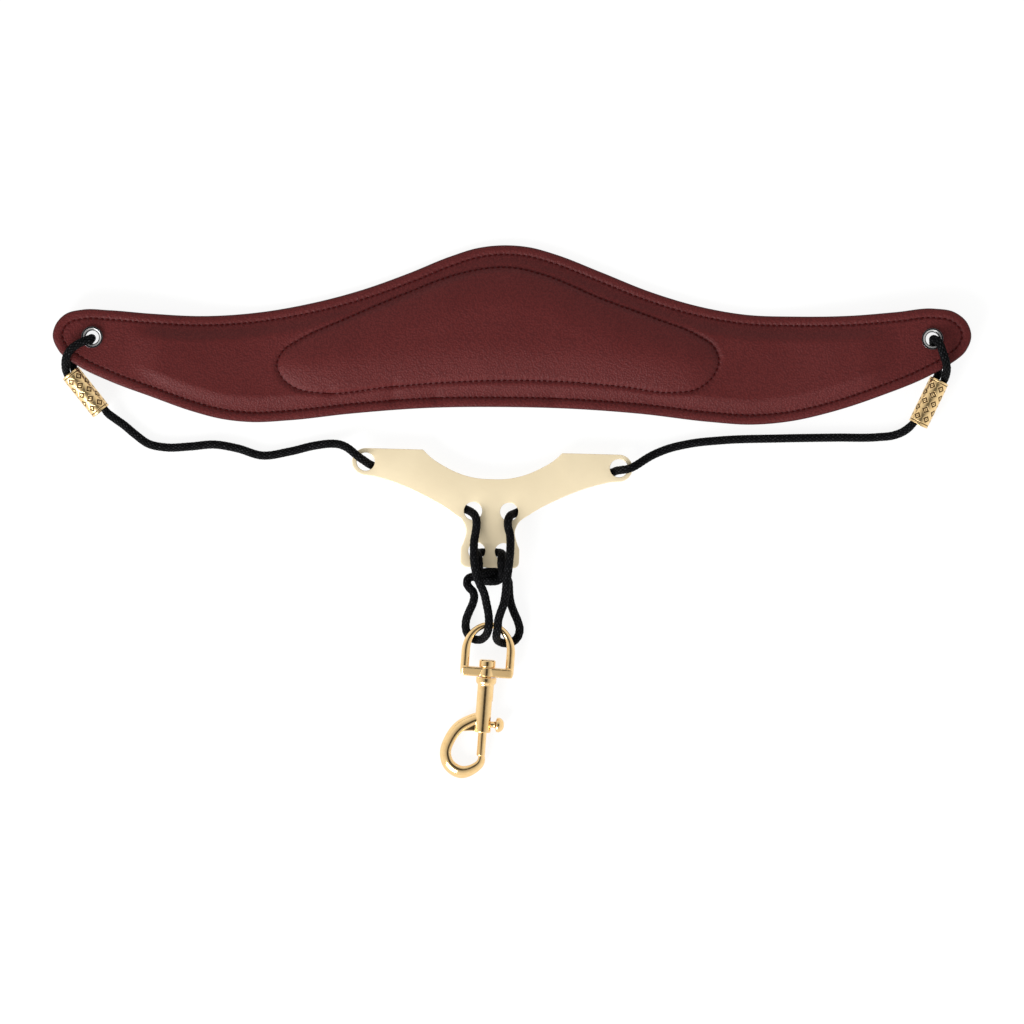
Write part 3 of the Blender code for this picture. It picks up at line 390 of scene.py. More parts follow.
def ferrule_axes(side):
    """A ferrule's direction from its top to its lower mouth, and the direction across it to the pad."""
    turn = math.radians(FERRULES[side][1])
    across = np.array([-math.sin(turn), math.cos(turn), 0])
    return np.array([math.cos(turn), math.sin(turn), 0]), across if side == "left" else -across


def ferrule_points(side, depths, offset):
    """Points in a ferrule at these depths from its top, off its middle by an offset towards the pad."""
    along, across = ferrule_axes(side)
    top = np.array([*FERRULES[side][0], FERRULE_HEIGHT])
    return [top + depth * along + offset * across for depth in depths]


def end_route(side, loop, run):
    """From the cut end up the ferrule, round the end loop, down the ferrule again and out along the run."""
    middle = FERRULE_LENGTH / 2
    mouth, straight = GRIP
    front = ferrule_points(side, (FERRULE_LENGTH - DEAD_END, middle, straight, mouth), -STRAND_OFFSET)
    back = ferrule_points(side, (mouth, straight, middle), STRAND_OFFSET)
    out = ferrule_points(side, (FERRULE_LENGTH - straight, FERRULE_LENGTH - mouth), STRAND_OFFSET)
    return [*front, *loop, *back, *out, *run], back[-1]


left_end, left_cut = end_route("left", LEFT_LOOP, LEFT_SIDE)
right_end, right_cut = end_route("right", RIGHT_LOOP, RIGHT_SIDE)
left_half = [*left_end, *LEFT_PLATE, *LEFT_STRAND]
right_half = [*right_end, *RIGHT_PLATE, *RIGHT_STRAND]
cord_line = evenly(smooth_line(np.vstack([left_half, LOWER_BRIDGE, right_half[::-1]])), step=CORD_STATION)
cord_run = run_of(cord_line)
print(f"cord: {cord_run[-1]:.0f} mm from cut end to cut end, {len(cord_line)} stations")

# %% [markdown]
# ## Finishes from nodes
#
# Each finish is one Principled shader with a few procedural nodes in front of it: noise for grain and
# wear, waves for yarns, and numbers kept on the piece where a pattern has to follow its surface. A small
# helper makes a node, sets its plain values and links what is already a socket.

# %% Helpers for finishes


def new_finish(name, color, roughness, metallic=0.0, **inputs):
    """A material with a Principled shader; further keywords set other inputs, with _ for a space."""
    made = bpy.data.materials.new(name)
    made.use_nodes = True
    shader = made.node_tree.nodes["Principled BSDF"]
    shader.inputs["Base Color"].default_value = (*color, 1)
    shader.inputs["Roughness"].default_value = roughness
    shader.inputs["Metallic"].default_value = metallic
    for key, value in inputs.items():
        shader.inputs[key.replace("_", " ")].default_value = value
    return made


def node(finish, kind, inputs=None, **settings):
    """A node in a finish. An input that is given a socket is linked, and any other value is set."""
    made = finish.node_tree.nodes.new("ShaderNode" + kind)
    for name, value in settings.items():
        setattr(made, name, value)
    for name, value in (inputs or {}).items():
        if isinstance(value, bpy.types.NodeSocket):
            finish.node_tree.links.new(value, made.inputs[name])
        else:
            made.inputs[name].default_value = value
    return made


def math_node(finish, operation, first, second=0.0):
    """The socket of a sum: first and second may be sockets or numbers."""
    return node(finish, "Math", {0: first, 1: second}, operation=operation).outputs[0]


def times(finish, first, second):
    """The socket of a product."""
    return math_node(finish, "MULTIPLY", first, second)


def spread(finish, value, low, high, to_low, to_high):
    """A value between low and high, spread evenly between two others."""
    inputs = {"Value": value, "From Min": low, "From Max": high, "To Min": to_low, "To Max": to_high}
    return node(finish, "MapRange", inputs).outputs[0]


def between(finish, share, color_a, color_b):
    """The colour that lies this share of the way from one colour, or colour socket, to another."""
    start = color_a if isinstance(color_a, bpy.types.NodeSocket) else (*color_a, 1)
    return node(finish, "Mix", {0: share, 6: start, 7: (*color_b, 1)}, data_type="RGBA").outputs[2]


def mottled(finish, value, low, high, color_a, color_b):
    """A colour that goes from one to another as a value goes from low to high."""
    return between(finish, spread(finish, value, low, high, 0, 1), color_a, color_b)


def own_place(finish):
    """The place on the piece, in its own coordinates."""
    return node(finish, "TexCoord").outputs["Object"]


print("node helpers ready")

# %% [markdown]
# On these stand the helpers for what a surface has: grain, numbers kept for its points, and relief.

# %% Grain, numbers and relief


def noise(finish, scale, detail=2.0, roughness=0.5, vector=None):
    """Noise on the piece's own place, with a scale in patches to the metre."""
    inputs = {"Vector": vector or own_place(finish), "Scale": scale, "Detail": detail, "Roughness": roughness}
    return node(finish, "TexNoise", inputs).outputs[0]


def attribute(finish, name):
    """A number that the piece keeps for each of its points."""
    return node(finish, "Attribute", attribute_name=name).outputs["Fac"]


def bump(finish, height, distance, strength=1.0, under=None):
    """Raises the surface by a height times a distance in millimetres, over another bump."""
    inputs = {"Height": height, "Distance": distance * MM, "Strength": strength}
    if under:
        inputs["Normal"] = under
    return node(finish, "Bump", inputs).outputs[0]


def paint(finish, **sockets):
    """Links sockets to the shader's inputs, with _ for a space in an input's name."""
    shader = finish.node_tree.nodes["Principled BSDF"]
    for key, socket in sockets.items():
        finish.node_tree.links.new(socket, shader.inputs[key.replace("_", " ")])
    return finish


print("finish helpers ready")

# %% [markdown]
# ## A braided cord
#
# A braided cord is a tube of two families of strands, one winding each way, that go over and under each
# other. It could be a smooth tube with a bump pattern, but then its outline would be smooth too, so the
# strands are raised in the mesh. The whole cord is worked out at once, so the braid runs on from piece to
# piece.

# %% Braid the cord
CORD_SIDES = 56
BRAID_STRANDS = 8  # each way
BRAID_PITCH = 17.0  # for one turn of a strand round the cord
BRAID_RELIEF = 0.34
HUMP = 0.96  # 1 would round a strand right down to its sides
WEAVE = 0.42  # how far a strand rises and dips, in its own heights
CROSSING = (-9.4, -29.6, 3.2)  # where the two returning strands lie side by side
CROSSING_SPREAD = 0.7  # how much wider they press each other there
CROSSING_REACH = 5.0


def braid(turn, run):
    """Height of the braid, from 0 to 1, and the place across the strand on top.

    The two families count their strands as p and q, which grow with the turn and either with or against
    the run. A strand's section is a rounded hump in the fraction of p, and it rises and dips with
    cos(pi q), the other family the opposite way; the higher of the two shows."""
    p = BRAID_STRANDS * (turn / (2 * np.pi) + run / BRAID_PITCH)
    q = BRAID_STRANDS * (turn / (2 * np.pi) - run / BRAID_PITCH)
    i, j = np.round(p), np.round(q)
    hump_p, hump_q = (np.sqrt(1 - HUMP * (2 * off) ** 2) for off in (p - i, q - j))
    rise_p = hump_p + WEAVE * np.cos(np.pi * q) * np.cos(np.pi * i)
    rise_q = hump_q - WEAVE * np.cos(np.pi * p) * np.cos(np.pi * j)
    return np.maximum(rise_p, rise_q) / (1 + WEAVE), np.where(rise_p > rise_q, p - i, q - j)


def cord_widths(line):
    """The cord's width at each point: less where a ferrule pinches two strands, more where two press flat."""
    near = np.exp(-((line - CROSSING) ** 2).sum(1) / CROSSING_REACH**2)
    widths = CORD + CROSSING_SPREAD * near
    for side in FERRULES:
        along, _ = ferrule_axes(side)
        rest = line - ferrule_points(side, [0], 0)[0]
        depth = rest @ along
        off = np.linalg.norm(rest - depth[:, None] * along, axis=1)
        past = np.maximum(-depth, depth - FERRULE_LENGTH)
        pinch = (1 - ease(past / CORD)) * (off < FERRULE_BORE / 2)
        widths -= pinch * (CORD - CORD_PINCHED)
    return widths


braid_height, yarn_across = braid(turns(CORD_SIDES)[None, :], cord_run[:, None])
cord_radius = cord_widths(cord_line)[:, None] / 2 - BRAID_RELIEF * (1 - braid_height)
cord_skin = tube_skin(cord_line, cord_radius[..., None], CORD_SIDES)
print("braid relief in mm:", round(float(np.ptp(cord_radius)), 2))

# %% [markdown]
# The cord is black, and what shows its braid is gloss on the yarns: each strand is a bundle of fine
# filaments along it, so a wave across the strand lifts them, and a painted highlight greys the strands'
# crowns in patches.

# %% Cord finish
FILAMENTS = 7  # across a strand


def cord_finish():
    finish = new_finish("black_braid", (0.004, 0.004, 0.005), 0.55, Specular_IOR_Level=0.04)
    across, height = attribute(finish, "yarn_across"), attribute(finish, "braid_height")
    filament = math_node(finish, "SINE", times(finish, across, 2 * math.pi * FILAMENTS))
    patchy = noise(finish, 1300, 3)
    lifted = math_node(finish, "ADD", filament, times(finish, patchy, 1.5))
    crown = spread(finish, height, 0.75, 1.0, 0.0, 1.0)
    # painted highlight: the strands' crowns are painted grey in patches
    painted_crown_highlight = times(finish, crown, spread(finish, patchy, 0.46, 0.66, 0.08, 1.0))
    color = between(finish, painted_crown_highlight, (0.0012, 0.0012, 0.0016), (0.046, 0.046, 0.05))
    rough = spread(finish, patchy, 0.3, 0.7, 0.45, 0.65)
    return paint(finish, Base_Color=color, Roughness=rough, Normal=bump(finish, lifted, 0.05, 0.5))


black_braid = cord_finish()
print("finish:", black_braid.name)

# %% [markdown]
# The cord crosses the strap's sliding and swinging joints, so it is nine pieces, which meet with no gap. A
# piece between two bodies rides on neither. The cuts are where the frame's stretches meet,
# and on the four strands just above the hook's eye.

# %% Cut the cord into its pieces
CUTS = [
    left_cut, LEFT_SIDE[-1], (-11.2, -44.2, 11.9), (-18.9, -43.7, 4.4),
    (0.35, -43.7, 3.9), (-4.5, -44.2, 11.9), RIGHT_SIDE[-1], right_cut,
]
EYE_SIDE = (-11, -50, 8)  # where an eye loop follows the eye
STRAND_END = (-11, -44, 8)  # where a strand follows the hook's end of the cord
PLATE_FRONT = (-11, -12, 8)  # where a front strand leaves the plate
PLATE_BACK = (-11, -16, 8)  # where a returning strand comes out of the plate's lower hole
CORDS = [
    ("left_loop_cord", "left_end_loop", ("pad",)),
    ("left_side_run", "left_side_cord", ("pad", "plate", (-180, 42, 3), (-84, 31, 3))),
    ("left_front_strand", "left_plate_cord", ("plate", "hook_cord", PLATE_FRONT, STRAND_END)),
    ("left_eye_loop", "left_hook_cord", ("hook_cord", "eye", STRAND_END, EYE_SIDE)),
    ("return_strand", "lower_bridge_cord", ("plate", "hook_cord", PLATE_BACK, STRAND_END)),
    ("right_eye_loop", "right_hook_cord", ("hook_cord", "eye", STRAND_END, EYE_SIDE)),
    ("right_front_strand", "right_plate_cord", ("plate", "hook_cord", PLATE_FRONT, STRAND_END)),
    ("right_side_run", "right_side_cord", ("pad", "plate", (180, 36, 3), (67, 28, 3))),
    ("right_loop_cord", "right_end_loop", ("pad",)),
]


def cord_piece(name, stands_for, follows, first, last):
    """The skin between two stations, closed by a flat cap at each end."""
    part = slice(first, last + 1)
    numbers = {"yarn_across": yarn_across[part], "braid_height": braid_height[part]}
    piece = closed_mesh(name, cord_skin[part], tube_faces(last - first + 1, CORD_SIDES), **numbers)
    dress(piece, black_braid, "cord", follows[0] if len(follows) == 1 else None, stands_for)
    if len(follows) > 1:
        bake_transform(piece)
    length = (cord_run[last] - cord_run[first]) * MM
    return length


stations = [int(np.linalg.norm(cord_line - cut, axis=1).argmin()) for cut in CUTS]
ends = [0, *stations, len(cord_line) - 1]
for cord, first, last in zip(CORDS, ends, ends[1:]):
    print(f"  {cord[0]}: {cord_piece(*cord, first, last) / MM:.0f} mm")

# %% [markdown]
# ## The neck pad's outlines
#
# The pad is two leathers sewn together round their edge, with foam between them and a second, thicker
# cushion of foam under a panel in the middle. Both outlines are smooth lines through listed points,
# clockwise from the left end, and each is split at its right end into an upper and a lower chain.

# %% Outlines and layers
PAD_OUTLINE = [
    (-210, 81), (-208.5, 86), (-204.5, 90.3), (-196, 92.6), (-184.5, 92.3), (-166, 90.8), (-141, 89.7),
    (-115.5, 91.5), (-92.5, 95.5), (-69.5, 101.5), (-47, 109.5), (-28.5, 117), (-15.5, 121), (-4, 122.2),
    (8.5, 121.2), (20, 118), (40.5, 110), (63.5, 100.8), (86, 94.1), (107, 90.4), (130, 89.5), (155, 89.8),
    (175.5, 91.4), (193, 93), (202.5, 91.3), (208, 86.7), (210, 80.5), (207.5, 73.6), (201, 68), (190, 61.8),
    (169.5, 53.4), (146.5, 45.8), (127.5, 41.5), (109, 40), (91, 41.2), (58.5, 45), (26.5, 47.3),
    (-5.5, 48.1), (-37.5, 47.7), (-74.5, 45), (-102, 42), (-120, 41.2), (-133, 42.6), (-146.5, 46.1),
    (-165, 52.7), (-184, 59.8), (-199, 67.1), (-207, 73.4),
]
PANEL_OUTLINE = [
    (-107.7, 67.5), (-105, 73.5), (-97, 79), (-76, 88.5), (-48.5, 100.2), (-24.5, 109), (-10.5, 111.7),
    (1, 111.8), (13, 109), (42.5, 97), (65.5, 88.6), (85.5, 80.5), (92, 76), (94.7, 69.5), (91.7, 61.6),
    (84.5, 56.1), (74.5, 54.6), (50, 57.3), (22, 59.6), (-6, 60.1), (-33.5, 59), (-56.5, 57.1), (-88, 54.4),
    (-98.5, 56.4), (-105, 61),
]
PAD_RIGHT_END = 26  # the outline's point at the pad's right end
PANEL_RIGHT_END = 13
BACK_LEATHER = 1.5
FRONT_LEATHER = 1.2
FOAM_SHEET = 1.8
GAP = 0.3
FOAM_END = 158  # the foam stops this far from the middle
FADE_LENGTH = 20
RIM_SEAM_INSET = 4.3
RIM_ROLL = 0.5
FIELD_SWELL = 0.6
CHANNEL = 2.4  # half the width of a sewn channel
RIM_RISE = 8.0  # how far inside the rim seam the leather reaches its full height
CROWN_RISE = 4.0
CROWN_RUN = 18
CUSHION_INSET = 5
CUSHION_SLACK = 0.9
END_LIFT = 6.0  # the cord behind each end holds it off the table
LIFT_START, LIFT_END = 108, 182
EYELETS = {"left": (-191.9, 79.9), "right": (192.2, 79.1)}
RIM_UNDERSIDE = BACK_LEATHER + GAP
RIM_TOP = RIM_UNDERSIDE + FRONT_LEATHER
FOAM_TOP = RIM_UNDERSIDE + FOAM_SHEET
PANEL_SEAM_TOP = FOAM_TOP + GAP + FRONT_LEATHER
LEATHER_MEETING = BACK_LEATHER + GAP / 2  # the height at which the two leathers touch at the edge


def inset(loop, distance):
    """A clockwise loop moved inwards by a distance, square to its line."""
    along = unit(np.roll(loop, -1, axis=0) - np.roll(loop, 1, axis=0))
    return loop + distance * right_of(along)


def chains(loop, corner, count):
    """A loop's lower and upper chain, both from its left end to its right, with points at even distances."""
    upper, lower = loop[: corner + 1], np.vstack([loop[corner:], loop[:1]])[::-1]
    return evenly(lower, count=count), evenly(upper, count=count)


LINE_STEPS = 24  # of smooth_line, between two points of an outline
pad_edge = smooth_line(PAD_OUTLINE, True, LINE_STEPS)
panel_seam = smooth_line(PANEL_OUTLINE, True, LINE_STEPS)
rim_seam = inset(pad_edge, RIM_SEAM_INSET)
rim_length, panel_length = run_of(rim_seam)[-1], run_of(panel_seam)[-1]
print(f"seams: {rim_length:.0f} mm round the rim, {panel_length:.0f} mm round the panel")

# %% [markdown]
# ## How high the leather stands
#
# The front leather is one sheet whose height follows from two distances, to the rim seam and to the panel
# seam. It rolls over the rim, dips into each sewn channel, swells over the foam between the seams and
# crowns over the cushion in the middle. Knots of thread, where the seams were started and ended, draw in
# small dents.

# %% Distances to a seam
SEAM_STEP = 2.0  # between points of a seam when distances to it are measured


def batches(count, size=4000):
    """Indices in batches, so that a table of distances stays small."""
    return np.array_split(np.arange(count), count // size + 1)


def inside(points, loop):
    """Whether each point is in a loop: a line to its right crosses the loop an odd number of times."""
    (x0, y0), (x1, y1) = loop.T, np.roll(loop, -1, axis=0).T
    px, py = points[:, :1], points[:, 1:]
    spans = (y0 > py) != (y1 > py)
    crossing = x0 + (py - y0) * (x1 - x0) / np.where(y1 == y0, 1, y1 - y0)
    return (spans & (crossing > px)).sum(1) % 2 == 1


def nearest(points, loop):
    """Each point's distance to a closed line, positive inside it, and the run along it to the nearest place.

    The distance to one step is that to its point at the share (to . step) / (step . step), kept between
    its ends, and the least one counts."""
    closed = evenly(joined(loop), step=SEAM_STEP)
    start, step, run = closed[:-1], np.diff(closed, axis=0), run_of(closed)
    squares = (step * step).sum(1)
    distance, place = np.empty((2, len(points)))
    for part in batches(len(points)):
        to = points[part, None] - start
        share = np.clip((to * step).sum(2) / squares, 0, 1)
        apart = np.linalg.norm(to - share[..., None] * step, axis=2)
        best = apart.argmin(1)
        row = np.arange(len(part))
        distance[part] = np.where(inside(points[part], start), 1, -1) * apart[row, best]
        place[part] = run[best] + share[row, best] * np.sqrt(squares[best])
    return distance, place


def soft_distance(points, loop):
    """A distance to a closed line that has no crease midway between the line's sides: with marks s apart on
    it and d the distance to each, the sum of d^-6, times s and over 3 pi / 8, to the power -1/5. Beside a
    straight line that is the distance itself."""
    marks = evenly(joined(loop), step=SEAM_STEP)[:-1]
    total = np.empty(len(points))
    for part in batches(len(points)):
        squares = ((points[part, None] - marks) ** 2).sum(2)
        total[part] = ((squares + (SEAM_STEP / 2) ** 2) ** -3).sum(1)
    return (SEAM_STEP * total / (3 * np.pi / 8)) ** -0.2


print("distance helpers ready")

# %% [markdown]
# With the distances at hand, the height is a sum of a few smooth steps and humps.

# %% The pad's height at any point
SEAM_GROOVE = 0.22
GROOVE_WIDTH = 0.6
KNOTS = [(-54.5, 51.4), (-35, 52.3), (18.6, 51.6), (-54.5, 57.4), (-84, 54.7)]
KNOT_DENT = 0.5
KNOT_SPREAD = 3.2


def pad_lift(x):
    """The height of the pad's back over the table: flat in the middle, and raised at both ends."""
    return END_LIFT * ease((np.abs(x) - LIFT_START) / (LIFT_END - LIFT_START))


def over_back(height):
    """A level at a fixed height over the pad's back, as a function of points of the table."""
    return lambda flat: pad_lift(flat[:, 0]) + height


def leather_top(flat, from_rim, from_panel):
    """The front leather's height over the pad's back, from the signed distances to the two seams."""
    rim = np.clip(1 + from_rim / RIM_SEAM_INSET, 0, 1)
    padded = 1 - ease((np.abs(flat[:, 0]) - FOAM_END - GAP) / FADE_LENGTH)
    dip = FIELD_SWELL * (1 - ease(np.abs(from_panel) / CHANNEL))
    height = RIM_TOP + RIM_ROLL * np.sin(np.pi * rim)
    height += ease(from_rim / RIM_RISE) * padded * (PANEL_SEAM_TOP + FIELD_SWELL - RIM_TOP - dip)
    inside = from_panel > 0
    crowned = np.minimum(from_panel[inside], soft_distance(flat[inside], panel_seam))
    height[inside] += CROWN_RISE * np.sin(np.pi / 2 * np.clip(crowned / CROWN_RUN, 0, 1))
    for seam in (from_rim, from_panel):
        height -= SEAM_GROOVE * np.exp(-((seam / GROOVE_WIDTH) ** 2))
    for knot in KNOTS:
        height -= KNOT_DENT * np.exp(-((flat - knot) ** 2).sum(1) / KNOT_SPREAD**2)
    return height


def pad_height(flat):
    """The front leather's height over the table at points of the table."""
    from_rim, _ = nearest(flat, rim_seam)
    from_panel, _ = nearest(flat, panel_seam)
    return pad_lift(flat[:, 0]) + leather_top(flat, from_rim, from_panel)


print("crown in mm:", round(float(pad_height(np.array([[0.0, 85.0]]))[0]), 2))

# %% [markdown]
# ## A pillow between two chains
#
# Every layer of the pad is a closed form over a lens: straight lines join its lower chain to its upper one,
# a quarter round runs down each edge, and a flat underside closes it. The lines draw together at both
# ends, where the form closes in a pole.

# %% Pillows
ROUND_ROWS = 5


def crowded(count, share=0.5):
    """Shares from 0 to 1 that crowd towards both ends: even steps mixed with those of a cosine."""
    t = np.linspace(0, 1, count)
    return (1 - share) * t + share * (0.5 - 0.5 * np.cos(np.pi * t))


def pillow(name, lower, upper, shares, top, bottom, rounding, under_rows=8, capped=False):
    """A closed form between two chains.

    Row by row round the form: a quarter round up from the lower edge, with offset r(1 - cos a) and drop
    r(1 - sin a), lines across the top at these shares, the same round down at the upper edge, and the
    underside. top and bottom give the heights at points of the table. A capped form ends square instead
    of in a pole."""
    loop = np.vstack([upper, lower[-2:0:-1]])
    inwards = inset(loop, 1) - loop
    count = len(upper)
    up_in = inwards[:count]
    low_in = np.vstack([inwards[:1], inwards[:count - 2:-1]])[:count]
    angle = np.linspace(0, np.pi / 2, ROUND_ROWS)
    offset, drop = rounding * (1 - np.cos(angle)), rounding * (1 - np.sin(angle))
    low_rows = lower[:, None] + offset[None, :, None] * low_in[:, None]
    up_rows = upper[:, None] + offset[None, ::-1, None] * up_in[:, None]
    inner = shares[1:-1]
    first, last = low_rows[:, -1], up_rows[:, 0]
    top_rows = first[:, None] + inner[None, :, None] * (last - first)[:, None]
    under = crowded(under_rows)[::-1]
    under_flat = lower[:, None] + under[None, :, None] * (upper - lower)[:, None]
    flat = np.concatenate([low_rows, top_rows, up_rows, under_flat], axis=1)
    over = flat.shape[1] - under_rows
    drops = np.concatenate([drop, np.zeros(len(inner)), drop[::-1]])
    high = top(flat[:, :over].reshape(-1, 2)).reshape(count, over) - drops
    low = bottom(under_flat.reshape(-1, 2)).reshape(count, under_rows)
    points = np.concatenate([flat, np.concatenate([high, low], axis=1)[..., None]], axis=2)
    rows = flat.shape[1]
    ends = [np.arange(rows)[None], (count - 1) * rows + np.arange(rows)[None, ::-1]] if capped else []
    return closed_mesh(name, points, [grid_faces(count, rows, wrap_columns=True), *ends])


print("pillows ready")

# %% [markdown]
# ## Front leather
#
# The leather is worked out on a fine grid, so that its rim, channels and crown are real shape and not only
# shading. It keeps its distances to both seams as numbers, and the finish reads them for the puckers
# beside each stitch, the painted shade along each seam's groove and the painted edge. The two eyelet holes
# are cut last.

# %% Shape the front leather
PAD_STATIONS = 620
PAD_ROWS = 116
EDGE_ROUND = 0.55
EYELET_HOLE = 7.9
HOLE_SIDES = 48
HOLE_SPAN = (-2, 20)  # from below the pad to above it
SLIVER = 0.01  # between the leathers


def cut_holes(piece):
    """Cuts a round hole at each eyelet, with one cutter of two cylinders."""
    ring = EYELET_HOLE / 2 * circle(turns(HOLE_SIDES))
    points, faces = [], []
    for k, place in enumerate(EYELETS.values()):
        points += [at_height(ring + place, height) for height in HOLE_SPAN]
        faces += [2 * k * HOLE_SIDES + some for some in tube_faces(2, HOLE_SIDES)]
    cut(piece, [closed_mesh(piece.name + "_cutter", np.vstack(points), faces)])


def keep_seams(piece):
    """Keeps each point's distance to both seams, and the run along them to the place nearest to it."""
    places = np.empty(len(piece.data.vertices) * 3, np.float32)
    piece.data.vertices.foreach_get("co", places)
    flat = places.reshape(-1, 3)[:, :2].astype(float) / MM
    for name, seam in (("rim", rim_seam), ("panel", panel_seam)):
        distance, run = nearest(flat, seam)
        set_attribute(piece, name + "_away", distance)
        set_attribute(piece, name + "_run", run)


def front_underside(flat):
    """The front leather's underside: down on the back leather along the rim, and its own thickness below
    its top from there on."""
    from_rim, _ = nearest(flat, rim_seam)
    meeting = pad_lift(flat[:, 0]) + LEATHER_MEETING + SLIVER
    return meeting + ease(from_rim / CHANNEL) * np.maximum(pad_height(flat) - FRONT_LEATHER - meeting, 0)


pad_chains = chains(pad_edge, PAD_RIGHT_END * LINE_STEPS, PAD_STATIONS)
front = pillow(
    "front_cover", *pad_chains, crowded(PAD_ROWS), pad_height, front_underside, EDGE_ROUND, under_rows=48
)
cut_holes(front)
keep_seams(front)

# %% [markdown]
# The leather is burgundy, with a fine pebbled grain that only shows as a soft sparkle. Cells of noise make
# the pebbles, finer noise the pores, and a slow one the uneven dye. Beside a seam the leather puckers
# between the stitches, so waves along the seam fade away from it, and the seam line itself is painted darker
# as shade in its groove.

# %% Leather finish
STITCH_PITCH = 2.6


def seam_share(finish, name, width):
    """How near a seam is: 1 on its line, falling off as exp(-(distance / width)^2)."""
    near = math_node(finish, "DIVIDE", attribute(finish, name + "_away"), width)
    return math_node(finish, "EXPONENT", times(finish, times(finish, near, near), -1))


def leather_finish():
    finish = new_finish("burgundy_leather", (0.1, 0.012, 0.013), 0.55, Specular_IOR_Level=0.16)
    inputs = {"Vector": own_place(finish), "Scale": 1250, "Smoothness": 0.7}
    cells = node(finish, "TexVoronoi", inputs, feature="SMOOTH_F1").outputs["Distance"]
    pores, dye = noise(finish, 3600, 3), noise(finish, 45, 4, 0.6)
    pebble = math_node(finish, "ADD", cells, times(finish, pores, 0.35))
    surface = bump(finish, pebble, 0.24, 0.85)
    seam_groove_shade = math_node(finish, "MAXIMUM", seam_share(finish, "rim", 0.42), seam_share(finish, "panel", 0.5))
    for name in ("rim", "panel"):
        wave = times(finish, attribute(finish, name + "_run"), 2 * math.pi / STITCH_PITCH)
        pucker = times(finish, math_node(finish, "COSINE", wave), seam_share(finish, name, 1.5))
        surface = bump(finish, pucker, 0.1, 0.7, surface)
    dyed = mottled(finish, dye, 0.3, 0.7, (0.099, 0.013, 0.0125), (0.113, 0.016, 0.0153))
    pitted = times(finish, spread(finish, pebble, 0.4, 0.85, 0, 1), 0.6)
    grained = between(finish, pitted, dyed, (0.058, 0.007, 0.008))
    # painted shade: the seam lines are painted darker, as shade in their grooves
    sewn = between(finish, times(finish, seam_groove_shade, 0.75), grained, (0.045, 0.005, 0.006))
    rim_away = attribute(finish, "rim_away")
    edge = spread(finish, rim_away, -RIM_SEAM_INSET + 0.1, -RIM_SEAM_INSET + 0.7, 0.75, 0)
    color = between(finish, edge, sewn, (0.03, 0.004, 0.005))
    rough = spread(finish, math_node(finish, "ADD", pebble, dye), 0.6, 1.6, 0.42, 0.6)
    return paint(finish, Base_Color=color, Roughness=rough, Normal=surface)


dress(front, leather_finish(), "burgundy_leather", "pad", "front_leather")

# %% [markdown]
# ## Back leather and foam
#
# The back is a plain, softer leather with a napped face. The foam between the leathers and the cushion
# under the panel never show, but they are there on the real pad, so they are here.

# %% Back leather and foam
FOAM_CLEARANCE = 0.05  # over the back leather
BACK_STATIONS, BACK_ROWS, BACK_ROUND = 300, 40, 0.05
FOAM_STATIONS, FOAM_ROWS, FOAM_ROUND = 300, 24, 0.2
CUSHION_STATIONS, CUSHION_ROWS, CUSHION_ROUND = 200, 36, 0.3


def suede_finish():
    finish = new_finish("napped_leather", (0.075, 0.016, 0.018), 0.9, Sheen_Weight=0.35, Sheen_Roughness=0.5)
    nap, patch = noise(finish, 2600, 4, 0.65), noise(finish, 60, 3)
    color = mottled(finish, patch, 0.3, 0.7, (0.06, 0.012, 0.0135), (0.092, 0.021, 0.023))
    return paint(finish, Base_Color=color, Normal=bump(finish, nap, 0.12, 0.6))


def foam_finish():
    finish = new_finish("closed_cell_foam", (0.16, 0.16, 0.17), 0.95)
    cells = node(finish, "TexVoronoi", {"Vector": own_place(finish), "Scale": 900}).outputs["Distance"]
    color = between(finish, cells, (0.19, 0.19, 0.2), (0.11, 0.11, 0.12))
    return paint(finish, Base_Color=color, Normal=bump(finish, cells, 0.2, 0.8))


back = pillow(
    "back_cover", *chains(pad_edge, PAD_RIGHT_END * LINE_STEPS, BACK_STATIONS), crowded(BACK_ROWS),
    over_back(LEATHER_MEETING - SLIVER), over_back(0), BACK_ROUND,
)
cut_holes(back)
dress(back, suede_finish(), "backing_leather", "pad", "back_leather")


def foam_height(flat):
    """The sheet's top: its full thickness, or skived to just below the leather."""
    return np.minimum(pad_lift(flat[:, 0]) + FOAM_TOP, pad_height(flat) - FRONT_LEATHER - GAP / 2)


foam_edge = inset(pad_edge, RIM_SEAM_INSET + CHANNEL + GAP)
foam_lower, foam_upper = chains(foam_edge, PAD_RIGHT_END * LINE_STEPS, FOAM_STATIONS)
keep = np.abs(foam_lower[:, 0]) < FOAM_END
foam = pillow(
    "foam_layer", foam_lower[keep], foam_upper[keep], crowded(FOAM_ROWS), foam_height,
    over_back(LEATHER_MEETING + FOAM_CLEARANCE), FOAM_ROUND, capped=True,
)
closed_cells = foam_finish()
dress(foam, closed_cells, "foam", "pad", "foam_sheet")

cushion_edge = inset(panel_seam, CUSHION_INSET)
cushion_chains = chains(cushion_edge, PANEL_RIGHT_END * LINE_STEPS, CUSHION_STATIONS)
cushion = pillow(
    "crown_cushion", *cushion_chains, crowded(CUSHION_ROWS),
    lambda flat: pad_height(flat) - FRONT_LEATHER - CUSHION_SLACK,
    lambda flat: np.full(len(flat), FOAM_TOP + GAP), CUSHION_ROUND,
)
dress(cushion, closed_cells, "foam", "pad", "centre_cushion")

# %% [markdown]
# ## Stitches
#
# A sewing machine leaves a row of short threads, each rising out of one hole and diving into the next. One
# long tube would look like piping, so every stitch is its own small spindle with sunken ends, set a
# little aslant to the seam as a lock stitch is.

